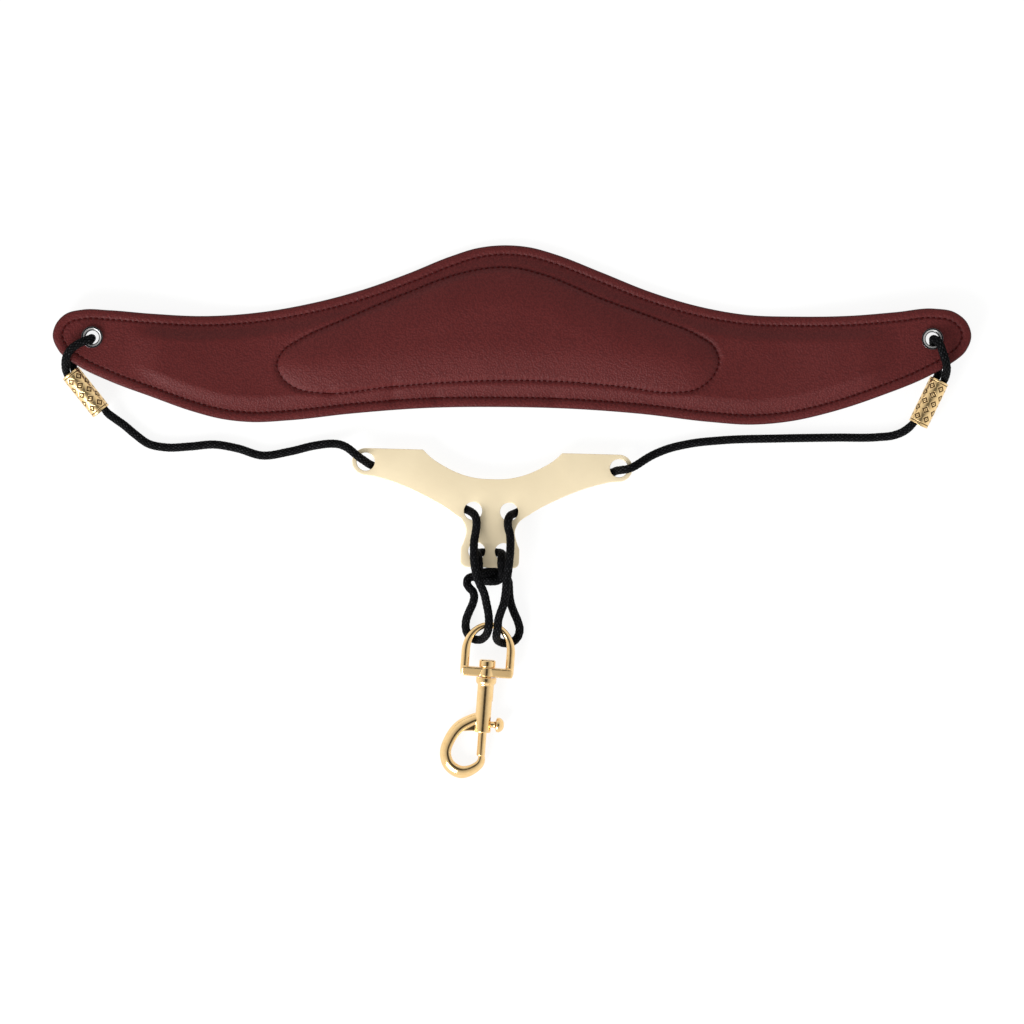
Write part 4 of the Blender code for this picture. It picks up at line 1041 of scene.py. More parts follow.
# %% Sew the seams
THREAD = 0.55
STITCH_LENGTH = 1.9
STITCH_ARCH = 0.42
STITCH_SLANT = 0.14  # radians
STITCH_RINGS = 6
STITCH_SIDES = 7
STITCH_HEIGHT = 0.32  # of a thread's middle over the leather, in threads
ENDS_SUNK = 0.72  # share of the arch that lies in the leather
PLY_TWIST = 5.5  # radians to the millimetre
KNOT_STITCHES = (-1.9, -0.7, 0.6, 1.7)  # along the seam from a knot's middle


def stitches(name, seam, extra):
    """Spindles along a closed seam: width r sqrt(1 - t^4) and height arch (1 - t^2) for t from -1 to 1."""
    closed = joined(seam)
    length = run_of(closed)[-1]
    count = round(length / STITCH_PITCH)
    at = np.concatenate([(np.arange(count) + 0.5) / count * length, extra])
    middle = points_at(closed, at)
    heading = unit(points_at(closed, (at + 0.5) % length) - middle)
    slanted = heading * math.cos(STITCH_SLANT) - right_of(heading) * math.sin(STITCH_SLANT)
    side = -right_of(slanted)
    t = np.sin(np.linspace(-np.pi / 2, np.pi / 2, STITCH_RINGS))
    turn = turns(STITCH_SIDES)
    width = THREAD / 2 * np.sqrt(1 - t**4)
    flat = middle[:, None] + (t * STITCH_LENGTH / 2)[None, :, None] * slanted[:, None]
    base = pad_height(middle)[:, None] + THREAD * STITCH_HEIGHT
    base = base + STITCH_ARCH * ((1 - t**2) - ENDS_SUNK)[None]
    sideways = (width[:, None] * np.cos(turn))[None, :, :, None] * side[:, None, None]
    upwards = np.broadcast_to(width[:, None] * np.sin(turn), (len(at), STITCH_RINGS, STITCH_SIDES))
    points = np.concatenate(
        [flat[:, :, None] + sideways, (base[:, :, None] + upwards)[..., None]], axis=3
    )
    size = STITCH_RINGS * STITCH_SIDES
    one = grid_faces(STITCH_RINGS, STITCH_SIDES, wrap_columns=True)
    faces = (one[None] + size * np.arange(len(at))[:, None, None]).reshape(-1, 4)
    along = np.broadcast_to((t * STITCH_LENGTH / 2)[None, :, None], (len(at), STITCH_RINGS, STITCH_SIDES))
    return closed_mesh(name, points, faces, twist=along * PLY_TWIST + turn)


def thread_finish():
    finish = new_finish("dark_red_thread", (0.06, 0.006, 0.006), 0.7, Specular_IOR_Level=0.03)
    ply = math_node(finish, "SINE", times(finish, attribute(finish, "twist"), 2))
    color = mottled(finish, ply, -1, 1, (0.036, 0.0032, 0.003), (0.075, 0.0068, 0.0065))
    return paint(finish, Base_Color=color, Normal=bump(finish, ply, 0.05, 0.6))


def knot_runs(seam):
    """Runs along a seam for the short overlapping stitches of its knots."""
    distance, run = nearest(np.array(KNOTS), seam)
    near = run[np.abs(distance) < KNOT_SPREAD]
    return (near[:, None] + np.array(KNOT_STITCHES)).ravel()


thread = thread_finish()
for name, seam, sewn in (
    ("rim_stitches", rim_seam, "rim_seam_thread"), ("panel_stitches", panel_seam, "centre_seam_thread")
):
    dress(stitches(name, seam, knot_runs(seam)), thread, "thread", "pad", sewn)

# %% [markdown]
# ## Turned metal
#
# Eyelets, ferrules, the rivet, the bolt and its knob were all turned or pressed round, so each is a profile
# of radius and height carried round an axis. A sharp corner on real metal is always a little broken, and
# that small round is what catches the light, so every profile has its corners eased first.

# %% Profiles and turning


def eased_corners(points, reach, closed=False, steps=5):
    """A line whose corners become parabolas, which start a reach before a corner and end a reach after it."""
    p = np.array(points, float)
    to_last, to_next = np.roll(p, 1, axis=0) - p, np.roll(p, -1, axis=0) - p
    cuts = []
    for way in (to_last, to_next):
        length = np.linalg.norm(way, axis=1, keepdims=True)
        cuts.append(p + way / length * np.minimum(reach, 0.45 * length))
    if not closed:
        cuts[0][[0, -1]] = cuts[1][[0, -1]] = p[[0, -1]]
    t = np.linspace(0, 1, steps)[None, :, None]
    arcs = (1 - t) ** 2 * cuts[0][:, None] + 2 * t * (1 - t) * p[:, None] + t * t * cuts[1][:, None]
    return arcs.reshape(-1, 2)


def turned(name, profile, sides, origin, axes, closed=False, grooves=0.0, **numbers):
    """A profile of (radius, height) points turned about the third of three axes; a closed one makes a ring.
    Grooves are depths to take off the radius, and further keywords keep numbers for the points."""
    turn = turns(sides)
    radius, height = profile[:, :1] - grooves, profile[:, 1:]
    local = np.stack(np.broadcast_arrays(radius * np.cos(turn), radius * np.sin(turn), height), axis=-1)
    points = np.array(origin) + local.reshape(-1, 3) @ np.array(axes)
    faces = grid_faces(len(profile), sides, wrap_rows=closed, wrap_columns=True)
    return closed_mesh(name, points, faces, **numbers)


UPRIGHT = np.eye(3)
print("turning ready")

# %% [markdown]
# ## Eyelets
#
# An eyelet is a dark plated barrel, rolled over on the front into a flat flange and held behind by a
# washer. The flange sits down on the leather and hides the hole's edge. Its flat mirrors the dark above it
# and its slope the room, and the slope is also painted near white as a painted highlight, so it shows as a
# dark ring round a bright one. The bore is painted black, as painted shade inside the hole.

# %% Eyelets and washers
EYELET_BORE = 6.3
EYELET_WALL = 0.5
FLANGE_WIDTH = 1.25
FLANGE_HEIGHT = 0.9
WASHER_WIDTH = 1.2
WASHER_THICKNESS = 0.4
EYELET_LIP = 0.15
EYELET_SIDES = 72
EYELET_EASE = 0.12


def gunmetal_finish():
    finish = new_finish("gunmetal_plate", (0.17, 0.17, 0.18), 0.1, 1.0)
    wear, painted_highlight_ring = noise(finish, 700, 4, 0.6), attribute(finish, "painted_highlight_ring")
    # painted highlight: the flange's slope is painted near white
    plating_and_highlight = between(finish, painted_highlight_ring, (0.16, 0.16, 0.175), (0.82, 0.82, 0.82))
    # painted shade: the bore is painted near black
    color = between(finish, attribute(finish, "bore"), plating_and_highlight, (0.02, 0.02, 0.022))
    worn = spread(finish, wear, 0.3, 0.7, 0.06, 0.14)
    rough = math_node(finish, "ADD", worn, times(finish, painted_highlight_ring, 0.35))
    return paint(finish, Base_Color=color, Roughness=rough)


inner, outer = EYELET_BORE / 2, EYELET_BORE / 2 + EYELET_WALL
rim, edge = outer + FLANGE_WIDTH, outer + GAP + WASHER_WIDTH
crest, foot = RIM_TOP + GAP + FLANGE_HEIGHT, -GAP - WASHER_THICKNESS
flange = [
    (inner, foot - EYELET_LIP), (outer, foot - EYELET_LIP), (outer, RIM_TOP), (rim, RIM_TOP),
    (rim - 0.02, crest - 0.05), (rim - 0.1, crest), (inner + 1.05, crest), (inner + 0.3, crest - 0.36),
    (inner, crest - 0.8),
]
ring = [(outer + 0.05, foot), (edge, foot), (edge, -0.02), (outer + 0.05, -0.02)]
flange, ring = (eased_corners(profile, EYELET_EASE, closed=True) for profile in (flange, ring))
off_bore = np.repeat(flange[:, 0] - inner, EYELET_SIDES)
blank = np.zeros(len(ring) * EYELET_SIDES)
# these marks pick the flange's slope for its painted highlight and the bore for its painted shade
flange_marks = {"bore": ease((0.36 - off_bore) / 0.1), "painted_highlight_ring": ease((1.1 - off_bore) / 0.1)}
ring_marks = {"bore": blank, "painted_highlight_ring": blank}
gunmetal = gunmetal_finish()
for side, place in EYELETS.items():
    for kind, profile, marks, stands_for in (
        ("_eyelet_ring", flange, flange_marks, "_eyelet"),
        ("_washer_ring", ring, ring_marks, "_eyelet_washer"),
    ):
        origin = (*place, float(pad_lift(place[0])))
        piece = turned(side + kind, profile, EYELET_SIDES, origin, UPRIGHT, closed=True, **marks)
        dress(piece, gunmetal, "gunmetal", "pad", side + stands_for)

# %% [markdown]
# ## Gold finishes
#
# The hook and the ferrules are polished gold plating: nearly a mirror, warm, with fine wear. The plate is
# paler and satin, brushed along its length, so it stays one flat champagne tone under any light. In the
# ferrules' engraving the gold is darkened, as plating is where no cloth reaches.

# %% Gold, antiqued gold, pale gold
GOLD = (0.93, 0.69, 0.38)


def gold_finish():
    finish = new_finish("polished_gold", GOLD, 0.14, 1.0)
    wear, ripple = noise(finish, 420, 5, 0.6), noise(finish, 130, 2)
    color = mottled(finish, wear, 0.3, 0.75, (0.95, 0.68, 0.35), (0.88, 0.58, 0.26))
    return paint(
        finish, Base_Color=color, Roughness=spread(finish, wear, 0.3, 0.75, 0.08, 0.18),
        Normal=bump(finish, ripple, 0.02, 0.35),
    )


def antique_gold_finish():
    finish = new_finish("engraved_gold", GOLD, 0.3, 1.0)
    wear = noise(finish, 500, 5, 0.6)
    deep = attribute(finish, "engraved")
    bright = mottled(finish, wear, 0.3, 0.75, (0.92, 0.68, 0.36), (0.84, 0.58, 0.27))
    color = between(finish, spread(finish, deep, 0.25, 0.75, 0, 0.95), bright, (0.05, 0.02, 0.006))
    return paint(finish, Base_Color=color, Roughness=spread(finish, deep, 0, 1, 0.28, 0.6))


def pale_gold_finish():
    finish = new_finish("satin_pale_gold", (0.96, 0.82, 0.56), 0.42, 0.35)
    drawn = node(finish, "Mapping", {"Vector": own_place(finish), "Scale": (0.04, 1, 1)}).outputs[0]
    brushed, patch = noise(finish, 5000, 3, 0.6, drawn), noise(finish, 50, 3)
    face = mottled(finish, patch, 0.3, 0.7, (0.985, 0.835, 0.575), (0.95, 0.8, 0.545))
    # the rounded edges are painted darker
    color = between(finish, times(finish, attribute(finish, "cut_edge"), 0.8), face, (0.3, 0.2, 0.09))
    return paint(
        finish, Base_Color=color, Roughness=spread(finish, brushed, 0.3, 0.7, 0.34, 0.5),
        Normal=bump(finish, brushed, 0.006, 0.4),
    )


gold, engraved_gold, pale_gold = gold_finish(), antique_gold_finish(), pale_gold_finish()
print("gold finishes ready")

# %% [markdown]
# ## Ferrules
#
# A ferrule is a short gold tube crimped over both strands of an end loop. It carries plain engraved
# lozenges in staggered rows, between two bands with a ring groove. The engraving is cut into the mesh and
# kept as a number too, so that the finish can darken it.

# %% Engrave the ferrules
FERRULE_WALL = 0.65
FERRULE_BAND = 1.6
FERRULE_SIDES = 192
FERRULE_ROWS = 150
LOZENGES = 6  # round the ferrule
LOZENGE_ROWS = 5
LOZENGE_REACH = (0.34, 0.4)  # half of one across and along, as shares of its field
STROKE = 0.3
LOZENGE_DOT = 0.22
ENGRAVING = 0.2
RING_GROOVE = 1.1  # from each mouth
RING_WIDTH = 0.25
FERRULE_LIP = 0.22


def lozenge_depth(turn, height):
    """How deep the engraving is, from 0 to 1: a lozenge's outline is where |u| + |v| = 1, with u and v
    measured from its middle in its half width and half height, and a ring is exp(-(x / width)^2) of the
    distance to it."""
    field = (height - FERRULE_BAND) / (FERRULE_LENGTH - 2 * FERRULE_BAND) * LOZENGE_ROWS
    row = np.clip(np.floor(field), 0, LOZENGE_ROWS - 1)
    column = LOZENGES * turn / (2 * np.pi) + 0.5 * (row % 2)
    u, v = (column - np.round(column)) / LOZENGE_REACH[0], (field - row - 0.5) / LOZENGE_REACH[1]
    size = np.abs(u) + np.abs(v)
    depth = np.maximum(np.exp(-(((size - 0.85) / STROKE) ** 4)), np.exp(-((size / LOZENGE_DOT) ** 4)))
    for at in (RING_GROOVE, FERRULE_LENGTH - RING_GROOVE):
        depth = np.maximum(depth, np.exp(-(((height - at) / RING_WIDTH) ** 2)))
    return depth


def ferrule(side):
    """A tube with an engraved wall: its section runs up the outside, over the rims and down the bore."""
    inner, end = FERRULE_BORE / 2, FERRULE_LENGTH
    outer = inner + FERRULE_WALL
    rise = np.linspace(FERRULE_LIP, end - FERRULE_LIP, FERRULE_ROWS)
    rims = [(outer, rise[-1]), (outer, end), (inner, end), (inner, 0), (outer, 0), (outer, rise[0])]
    wall = np.column_stack([np.full(FERRULE_ROWS, outer), rise])
    profile = np.vstack([wall, eased_corners(rims, 0.2)])
    along, _ = ferrule_axes(side)
    axes = np.array([np.cross(along, (0, 0, 1)), (0, 0, 1), along])
    depth = np.zeros((len(profile), FERRULE_SIDES))
    depth[:FERRULE_ROWS] = lozenge_depth(turns(FERRULE_SIDES)[None], rise[:, None])
    piece = turned(
        side + "_ferrule_tube", profile, FERRULE_SIDES, ferrule_points(side, [0], 0)[0], axes, closed=True,
        grooves=ENGRAVING * depth, engraved=depth,
    )
    dress(piece, engraved_gold, "gold", "pad", side + "_ferrule")


for side in FERRULES:
    ferrule(side)

# %% [markdown]
# ## The spreader plate
#
# The V plate is cut from sheet brass: two arms with a hole at each end, a waist, and a tab with four more
# holes for the cord. A flat face with holes is filled with triangles between its lines, and a rounded
# edge is carried round the outline and round each hole.

# %% The plate's outline, and how to fill it
PLATE_PLACE = (-9.0, 21.55)
PLATE_TURN = -1.5
PLATE_UNDERSIDE = 5.0
PLATE_THICKNESS = 1.8
PLATE_HOLE = 8.3
TAB_HOLE = 7.8
OUTER_HOLE_X = 57.95
OUTER_HOLE_RIM = 6.2
UPPER_HOLE = (8.25, -21.25)
LOWER_HOLE = (6.1, -39.55)
PLATE_NOTCH = [(31.8, 6.2), (27.6, 2.3), (22.4, -0.9), (16.6, -3.7), (8.7, -5.95), (0, -6.5)]
PLATE_UNDERCUT = [(54, -6.6), (44, -9.4), (31, -14.8), (18, -22.1), (12.6, -26.4), (11.1, -30.5),
                  (11.9, -34.6), (13.4, -38.2)]
TAB_WIDTH = 26.8
TAB_END = -47
TAB_CORNER = 2.6
PLATE_EDGE = 0.3
PLATE_STEP = 0.6
PLATE_ROUND = 5  # points of the round at each edge
PLATE_HOLE_SIDES = 72


def arc(center, radius, start, end, count):
    """Points of an arc, with angles in degrees from +X."""
    return np.array(center) + radius * circle(np.radians(np.linspace(start, end, count)))


def plate_outline():
    """Clockwise: the right half from the notch round the arm's end to the tab, and its mirror image."""
    rim = arc((OUTER_HOLE_X, 0), OUTER_HOLE_RIM, 90, -90, 40)
    corner = arc((TAB_WIDTH / 2 - TAB_CORNER, TAB_END + TAB_CORNER), TAB_CORNER, 0, -90, 12)
    right = np.vstack([smooth_line(PLATE_NOTCH[::-1]), rim, smooth_line(PLATE_UNDERCUT), corner])
    loop = np.vstack([right, right[:0:-1] * (-1, 1)])
    return evenly(joined(loop), step=PLATE_STEP)[:-1]


def fill_between(loops):
    """Triangles that fill the first loop and leave the others open, as indices into all their points."""
    points = np.vstack(loops)
    firsts = np.cumsum([0] + [len(loop) for loop in loops[:-1]])
    edges = np.vstack([
        first + np.stack([np.arange(len(loop)), np.roll(np.arange(len(loop)), -1)], axis=1)
        for first, loop in zip(firsts, loops)
    ])
    flat, _, faces, *_ = delaunay_2d_cdt([Vector(p) for p in points], edges.tolist(), [], 0, 1e-7)
    faces = np.array(faces)
    middle = np.array([tuple(p) for p in flat])[faces].mean(1)
    keep = inside(middle, loops[0])
    for hole in loops[1:]:
        keep &= ~inside(middle, hole)
    return faces[keep]


print("plate outline:", len(plate_outline()), "points")

# %% [markdown]
# The finish paints the plate's rounded edges darker: the plate keeps how far each point is from its
# two faces.

# %% Build the plate


def plate():
    """Both faces, and between them a section carried round every loop: a quarter round down from the top
    face, the flat edge, and a quarter round to the underside."""
    centers = [((OUTER_HOLE_X, 0), PLATE_HOLE), (UPPER_HOLE, PLATE_HOLE), (LOWER_HOLE, TAB_HOLE)]
    whole = (360, 360 / PLATE_HOLE_SIDES, PLATE_HOLE_SIDES)
    holes = [arc((sign * x, y), size / 2, *whole) for (x, y), size in centers for sign in (-1, 1)]
    loops = [plate_outline(), *holes]
    angle = np.linspace(0, np.pi / 2, PLATE_ROUND)
    offset = PLATE_EDGE * np.concatenate([1 - np.sin(angle), 1 - np.cos(angle)])
    fall = PLATE_EDGE * np.concatenate([np.cos(angle) - 1, -np.sin(angle)])
    level = fall + np.repeat([PLATE_THICKNESS, PLATE_EDGE], PLATE_ROUND)
    # how far round the edge each point lies, 0 at both faces; the finish paints the edge darker by it
    worn = np.clip(np.minimum(level, PLATE_THICKNESS - level) / PLATE_EDGE, 0, 1) ** 2  # 0 at both faces
    points, faces, edges, first = [], [], [], 0
    for k, loop in enumerate(loops):
        rows = [inset(loop, distance if k == 0 else -distance) for distance in offset]
        edges.append(np.repeat(worn, len(loop)))
        points += [at_height(row, z) for row, z in zip(rows, level)]
        faces.append(grid_faces(len(rows), len(loop), wrap_columns=True, first=first))
        first += len(rows) * len(loop)
    inner = [inset(loop, PLATE_EDGE if k == 0 else -PLATE_EDGE) for k, loop in enumerate(loops)]
    cover = fill_between(inner)
    count = sum(len(loop) for loop in inner)
    for z, fill in ((PLATE_THICKNESS, cover), (0, cover[:, ::-1])):
        points.append(at_height(np.vstack(inner), z))
        faces.append(first + fill)
        first += count
    turn = math.radians(PLATE_TURN)
    spin = np.array([(math.cos(turn), math.sin(turn), 0), (-math.sin(turn), math.cos(turn), 0), (0, 0, 1)])
    points = np.vstack(points) @ spin + (*PLATE_PLACE, PLATE_UNDERSIDE)
    edges = np.concatenate(edges + [np.zeros(2 * count)])
    return closed_mesh("spreader_plate", points, faces, 1e-6, cut_edge=edges)


spreader = dress(plate(), pale_gold, "pale_gold", "plate", "v_plate")
spreader.data.set_sharp_from_angle(angle=math.radians(40))

# %% [markdown]
# ## Castings
#
# The hook and the swivel eye are die castings, so no edge on them is sharp and every joint has a fillet.
# Simple forms are laid through each other, a fine voxel remesh makes one skin of them, and a little
# smoothing melts the corners. Bores and slots are cut last, as a tool would cut them.

# %% Frame of the hook, and casting
HOOK_PLACE = (-11.7, -75.4, 5.838)
HOOK_LEAN = -4.2
HOOK_TILT = 3.6
VOXEL = 0.2
MELTING = 7  # rounds of smoothing


def hook_axes():
    """The hook's own axes: X across it, Y up its stem and Z to the front, leaning on the table and tilted."""
    lean, tilt = math.radians(HOOK_LEAN), math.radians(HOOK_TILT)
    across = np.array([math.cos(lean), math.sin(lean), 0])
    front = np.array([math.sin(lean) * math.sin(tilt), -math.cos(lean) * math.sin(tilt), math.cos(tilt)])
    return np.array([across, np.cross(front, across), front])


HOOK_AXES = hook_axes()
STEM_AXES = np.array([HOOK_AXES[2], HOOK_AXES[0], HOOK_AXES[1]])  # turned pieces stand on the stem
KNOB_AXES = np.array([HOOK_AXES[1], HOOK_AXES[2], HOOK_AXES[0]])


def on_hook(local):
    """Points of the hook's own frame, on the table's."""
    return np.array(HOOK_PLACE) + np.reshape(local, (-1, 3)) @ HOOK_AXES


def bar(name, line, radii, sides=32, ends=6, flat=1.0, slope=0.0):
    """A bar along a line in the hook's plane, with domed ends: its section is a circle, which flat thins
    front to back and slope tips, so that its front faces to one side."""
    line, radii = np.array(line, float), np.asarray(radii, float)
    along = unit(np.gradient(line, axis=0))
    dome = np.linspace(0, np.pi / 2, ends)
    head = line[:1] - along[:1] * (radii[0] * np.cos(dome))[:, None]
    tail = line[-1:] + along[-1:] * (radii[-1] * np.cos(dome[::-1]))[:, None]
    middle = np.vstack([head, line[1:-1], tail])
    width = np.concatenate([radii[0] * np.sin(dome), radii[1:-1], radii[-1] * np.sin(dome[::-1])])
    heading = np.vstack([np.repeat(along[:1], ends, 0), along[1:-1], np.repeat(along[-1:], ends, 0)])
    side = right_of(heading)
    turn = turns(sides)
    reach = width[:, None] * np.cos(turn)
    rise = width[:, None] * (flat * np.sin(turn) + slope * np.cos(turn))
    local = np.concatenate([middle[:, None] + reach[..., None] * side[:, None], rise[..., None]], axis=2)
    return closed_mesh(name, on_hook(local), grid_faces(len(middle), sides, wrap_columns=True))


def cast(name, forms, cuts):
    """One skin round all the forms: joined, remeshed by voxels, smoothed, and cut by the cutters."""
    bpy.context.view_layer.update()
    skin = forms[0]
    shape = bmesh.new()
    for form in forms:
        shape.from_mesh(form.data)
    shape.to_mesh(skin.data)
    shape.free()
    for form in forms[1:]:
        bpy.data.objects.remove(form)
    remesh = skin.modifiers.new("skin", "REMESH")
    remesh.mode, remesh.voxel_size = "VOXEL", VOXEL * MM
    melt = skin.modifiers.new("melt", "SMOOTH")
    melt.factor, melt.iterations = 0.5, MELTING
    skin.name = name
    cut(skin, cuts)
    return skin


print("hook frame at", [round(c, 1) for c in on_hook((0, 0, 0))[0]])

# %% [markdown]
# ## Swivel eye
#
# The eye is a bar bent into a round arch, thinner at the top, on a heavier base that the rivet goes
# through. The base has a front that slopes to the viewer's side, and a boss in the middle.

# %% Cast the swivel eye
EYE_WIRE = 3.8
EYE_HALF_WIDTH = 10.3
EYE_LEG = 11.6
EYE_ARCH = 12.2
EYE_BASE = 4.4
EYE_BASE_DEPTH = 7.2
ARCH_SHARE = 0.74  # of the wire at the top of the arch
LEG_SHARE = 0.3  # more of it in the legs
BOSS = 7.4
BOSS_SPAN = (0.25, EYE_BASE - 0.1)
RIVET_SHANK = 4.0
CUT_SIDES = 64
BASE_SLOPE = 0.34
BASE_SIDES = 96


def eye_base():
    """A bar across the hook whose section is a rounded square, |y|^8 + |z|^8 = 1, lower towards its ends and
    with its front sloping down along y."""
    x = np.linspace(-1, 1, 60)
    end = np.sqrt(np.clip(1 - np.abs(x) ** 30, 0, 1))
    half = EYE_HALF_WIDTH + EYE_WIRE / 2
    turn = turns(BASE_SIDES)
    square = (np.abs(np.cos(turn)) ** 8 + np.abs(np.sin(turn)) ** 8) ** (-1 / 8)
    y = EYE_BASE / 2 * (1 + end[:, None] * square * np.cos(turn))
    front = square * np.sin(turn) * (1 - BASE_SLOPE * 0.5 * (1 - square * np.cos(turn)))
    z = EYE_BASE_DEPTH / 2 * (0.92 - 0.2 * x[:, None] ** 2) * end[:, None] * front
    local = np.stack(np.broadcast_arrays(half * x[:, None], y, z), axis=-1)
    return closed_mesh("eye_base", on_hook(local), grid_faces(len(x), BASE_SIDES, wrap_columns=True))


def pin_cutter(name, radius, low, high):
    """A plain cylinder on the stem, to cut a bore with."""
    profile = np.array([(0, low), (radius, low), (radius, high), (0, high)], float)
    return turned(name, profile, CUT_SIDES, HOOK_PLACE, STEM_AXES)


spin = np.linspace(0, np.pi, 60)
arch = circle(spin) * (EYE_HALF_WIDTH, EYE_ARCH) + (0, EYE_LEG)
eye_line = np.vstack([(EYE_HALF_WIDTH, EYE_BASE / 2), arch, (-EYE_HALF_WIDTH, EYE_BASE / 2)])
leg_share = np.clip(1 - (eye_line[:, 1] - EYE_LEG) / EYE_ARCH, 0, 1)
eye_bar = bar("eye_bar", eye_line, EYE_WIRE / 2 * (ARCH_SHARE + LEG_SHARE * leg_share), 40)
boss_low, boss_high = BOSS_SPAN
boss_line = [(0, boss_low), (BOSS / 2, boss_low), (BOSS / 2, boss_high), (0, boss_high)]
boss = turned("eye_boss", eased_corners(boss_line, 0.2), CUT_SIDES, HOOK_PLACE, STEM_AXES)
pivot = pin_cutter("eye_pivot", RIVET_SHANK / 2 + GAP, -1, EYE_BASE + 1)
swivel_eye = cast("swivel_eye_casting", [eye_bar, eye_base(), boss], [pivot])
dress(swivel_eye, gold, "gold", "eye", "swivel_eye")

# %% [markdown]
# ## Hook body
#
# Collar and barrel are turned in one on the stem, and the arm swings out of the barrel's side, round under
# the bolt and back up to meet its tip. A flat web fills the corner between arm and barrel. The arm's section
# is tipped a little, so it is bright on its outer side and dark along the inner one. The bolt's bore, the
# rivet's bore and the knob's slot are cut into the casting.

# %% Cast the hook body
COLLAR = 9.4
COLLAR_HEIGHT = 3.0
BARREL = 7.5
BARREL_END = -25.5
ARM_PATH = [(-2.2, -18.7), (-6.4, -20.7), (-10.4, -23.4), (-14.6, -29.6), (-16.2, -36.2), (-14.2, -41.5),
            (-8.6, -44.5), (-2.9, -42.6), (0.1, -39.5), (0.5, -37.2)]
ARM_RADIUS = [2.3, 2.5, 2.6, 2.6, 2.6, 2.9, 3.05, 2.4, 1.95, 1.6]
WEB_OUTLINE = [(-1.2, -17.4), (-5.2, -19.6), (-10, -23.4), (-9, -25.6), (-5, -25.1), (-1.2, -25.3)]
WEB_THICKNESS = 3.4
ARM_SLOPE = 0.4
BOLT = 3.9
BOLT_TRAVEL = 9
BORE_TOP = -6.6
RIVET_DEPTH = 3.6
KNOB_HEIGHT = -21.7
KNOB_NECK = 2.8
STEM_SIDES = 96
STEM_EASE = 0.3


def web_plate():
    """A flat plate in the hook's plane: its outline at the front, and again at the back."""
    loop = eased_corners(WEB_OUTLINE, 0.8, closed=True)
    levels = np.repeat([WEB_THICKNESS / 2, -WEB_THICKNESS / 2], len(loop))
    local = np.column_stack([np.tile(loop, (2, 1)), levels])
    return closed_mesh("hook_web", on_hook(local), tube_faces(2, len(loop)))


def slot_cutter():
    """A box as wide as the knob's neck and as long as its travel."""
    half = KNOB_NECK / 2 + GAP
    low, high = KNOB_HEIGHT - half, KNOB_HEIGHT + BOLT_TRAVEL + half
    corners = [(x, y, z) for x in (0, BARREL) for y in (low, high) for z in (-half, half)]
    faces = np.array([[0, 1, 3, 2], [4, 6, 7, 5], [0, 4, 5, 1], [2, 3, 7, 6], [0, 2, 6, 4], [1, 5, 7, 3]])
    return closed_mesh("knob_slot", on_hook(corners), faces)


top = -GAP
collar_end = top - COLLAR_HEIGHT
barrel, collar = BARREL / 2, COLLAR / 2
stem_line = [
    (0, BARREL_END), (barrel, BARREL_END), (barrel, collar_end - 0.4), (barrel + 0.3, collar_end),
    (collar - 0.3, collar_end + 0.3), (collar, collar_end + 0.9), (collar, top), (0, top),
]
stem = turned("hook_stem", eased_corners(stem_line, STEM_EASE), STEM_SIDES, HOOK_PLACE, STEM_AXES)
arm_line = evenly(smooth_line(np.column_stack([ARM_PATH, ARM_RADIUS])), step=0.6)
arm = bar("hook_arm", arm_line[:, :2], arm_line[:, 2], 48, flat=0.9, slope=-ARM_SLOPE)
web = web_plate()
cuts = [
    pin_cutter("bolt_bore", BOLT / 2 + GAP, BARREL_END - 1, BORE_TOP),
    pin_cutter("rivet_bore", RIVET_SHANK / 2 + GAP, top - RIVET_DEPTH - GAP, 1),
    slot_cutter(),
]
hook = cast("hook_casting", [stem, arm, web], cuts)
dress(hook, gold, "gold", "hook", "hook_body")

# %% [markdown]
# ## Rivet, bolt, knob and spring
#
# The rivet's head sits in the eye and lets the hook turn. The bolt is a plain pin that the thumb knob draws
# back, and the coil spring in the barrel pushes it home again. On the real hook the spring shortens as the
# bolt travels; here it keeps its full length, and the share it would keep is worked out.

# %% Turn the rivet, the bolt and its knob
RIVET_HEAD = 7.6
RIVET_HEAD_HEIGHT = 3.4
BOLT_TOP = -19.4
BOLT_TIP = -36.6
KNOB_HEAD = 6.8
KNOB_HEAD_START = 5.9
KNOB_HEAD_END = 9.6
TURNING_SIDES = 72
seat = EYE_BASE + 0.1
crown = seat + RIVET_HEAD_HEIGHT
shank, head, pin = RIVET_SHANK / 2, RIVET_HEAD / 2, BOLT / 2
neck, knob_rim = KNOB_NECK / 2, KNOB_HEAD / 2
rivet_line = [
    (0, top - RIVET_DEPTH), (shank, top - RIVET_DEPTH), (shank, seat), (head - 0.3, seat), (head, seat + 0.3),
    (head, crown - 0.6), (head - 0.6, crown), (0, crown),
]
bolt_line = [(0, BOLT_TIP), (pin - 0.5, BOLT_TIP), (pin, BOLT_TIP + 0.5), (pin, BOLT_TOP), (0, BOLT_TOP)]
knob_line = [
    (0, pin - 0.3), (neck, pin - 0.3), (neck, KNOB_HEAD_START - 0.5), (neck + 0.9, KNOB_HEAD_START),
    (knob_rim - 0.2, KNOB_HEAD_START + 0.15), (knob_rim, KNOB_HEAD_START + 0.8),
    (knob_rim, KNOB_HEAD_END - 1.9), (knob_rim - 1.1, KNOB_HEAD_END - 0.5), (1.2, KNOB_HEAD_END),
    (0, KNOB_HEAD_END),
]
for name, line, reach, body, stands_for in (
    ("rivet_pin", rivet_line, 0.3, "hook", "swivel_rivet"),
    ("bolt_pin", bolt_line, 0.3, "bolt", "bolt"),
    ("knob_head", knob_line, 0.7, "bolt", "thumb_knob"),
):
    stands_on = (HOOK_PLACE, STEM_AXES)
    if name == "knob_head":
        stands_on = (on_hook((0, KNOB_HEIGHT, 0))[0], KNOB_AXES)
    piece = turned(name, eased_corners(line, reach), TURNING_SIDES, *stands_on)
    dress(piece, gold, "gold", body, stands_for)

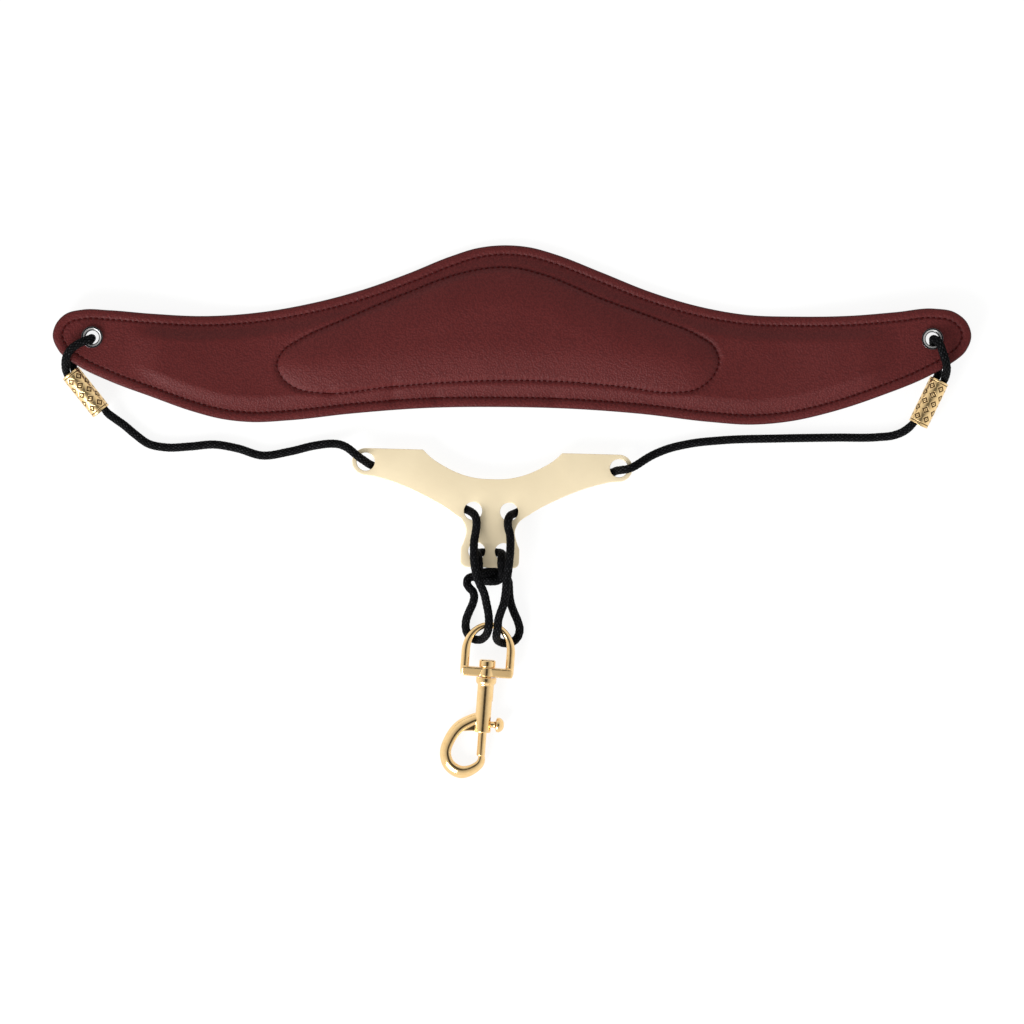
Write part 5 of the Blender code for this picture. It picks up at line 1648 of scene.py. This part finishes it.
# %% [markdown]
# The spring is a wire carried along a helix.

# %% Wind the spring
SPRING_WIRE = 0.5
SPRING_WIDTH = 3.9
SPRING_TURNS = 6
SPRING_SIDES = 10
SPRING_STATIONS = 40  # to a turn


def spring():
    """A helix on the stem: radius (cos a, sin a), rising evenly; its wire is a circle carried along it."""
    low, high = BOLT_TOP + SPRING_WIRE / 2, BORE_TOP - SPRING_WIRE / 2
    share = np.linspace(0, 1, SPRING_TURNS * SPRING_STATIONS + 1)
    turn, radius = 2 * np.pi * SPRING_TURNS * share, (SPRING_WIDTH - SPRING_WIRE) / 2
    local = np.stack([radius * np.cos(turn), low + (high - low) * share, radius * np.sin(turn)], axis=1)
    line = on_hook(local)
    skin = tube_skin(line, SPRING_WIRE / 2, SPRING_SIDES)
    piece = closed_mesh("coil_spring", skin, tube_faces(len(line), SPRING_SIDES))
    return piece, (high - low - BOLT_TRAVEL) / (high - low)


def steel_finish():
    finish = new_finish("bright_wire", (0.5, 0.5, 0.52), 0.3, 1.0)
    drawn = noise(finish, 1500, 3)
    return paint(finish, Roughness=spread(finish, drawn, 0.3, 0.7, 0.22, 0.4))


coil, kept_length = spring()
dress(coil, steel_finish(), "spring_steel", "hook", "bolt_spring")
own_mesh(coil)
print("spring keeps", round(kept_length, 2), "of its length")

# %% [markdown]
# ## Table and light
#
# The strap lies on a white light table, so its shadows almost vanish. Polished metal shows what is round
# it, so the sky matters more than the lamps: it is bright all round and dark straight above, where the
# camera is, and that draws the dark line down the middle of every round bar. One low, broad lamp on the
# left, towards the hook, lights the slopes of the pad that face it and leaves the others darker.

# %% Stage
FLOOR_SIZE = 9000
FLOOR_DROP = 0.15  # below the strap, so that nothing lies in the floor's face
SKY = [(0.0, 1.0), (0.35, 1.0), (0.6, 0.82), (0.85, 0.58), (0.94, 0.4), (0.97, 0.05)]  # height, brightness


def make_floor():
    """A square of plain white table under the strap, lit from within so that no shadow is dark on it."""
    corners = FLOOR_SIZE / 2 * np.array([(-1, -1, 0), (1, -1, 0), (1, 1, 0), (-1, 1, 0)]) - (0, 0, FLOOR_DROP)
    floor = link_mesh("table", corners, np.array([[0, 1, 2, 3]]))
    glow = {"Emission_Color": (1, 1, 1, 1), "Emission_Strength": 0.86}
    finish = new_finish("lit_table", (0.18, 0.18, 0.18), 0.9, Specular_IOR_Level=0.1, **glow)
    floor.data.materials.append(finish)


def make_sky():
    """A sky whose brightness depends on height alone: bright from the horizon up, and dark at the top."""
    world = bpy.data.worlds.new("studio")
    world.use_nodes = True
    bpy.context.scene.world = world
    tree = world.node_tree
    place = tree.nodes.new("ShaderNodeTexCoord")
    split = tree.nodes.new("ShaderNodeSeparateXYZ")
    ramp = tree.nodes.new("ShaderNodeValToRGB")
    tree.links.new(place.outputs["Generated"], split.inputs[0])
    tree.links.new(split.outputs["Z"], ramp.inputs[0])
    tree.links.new(ramp.outputs[0], tree.nodes["Background"].inputs["Color"])
    tree.nodes["Background"].inputs["Strength"].default_value = 1.0
    band = ramp.color_ramp.elements
    while len(band) < len(SKY):
        band.new(0.5)
    for stop, (height, bright) in zip(band, SKY):
        stop.position = height
        stop.color = (bright, bright, bright * 0.98, 1)


def make_lamp(name, place, target, size, watts):
    """A square soft lamp at a place in millimetres, turned to a target."""
    data = bpy.data.lights.new(name, "AREA")
    data.energy = watts
    data.size = size * MM
    lamp = bpy.data.objects.new(name, data)
    lamp.location = Vector(place) * MM
    lamp.rotation_euler = (Vector(target) - Vector(place)).to_track_quat("-Z", "Y").to_euler()
    bpy.context.scene.collection.objects.link(lamp)


make_floor()
make_sky()
make_lamp("broad_lamp", place=(-900, -1080, 740), target=(0, 20, 0), size=850, watts=30)
bpy.context.scene.view_settings.view_transform = "Standard"
bpy.context.scene.view_settings.exposure = 0.0
print("stage set")
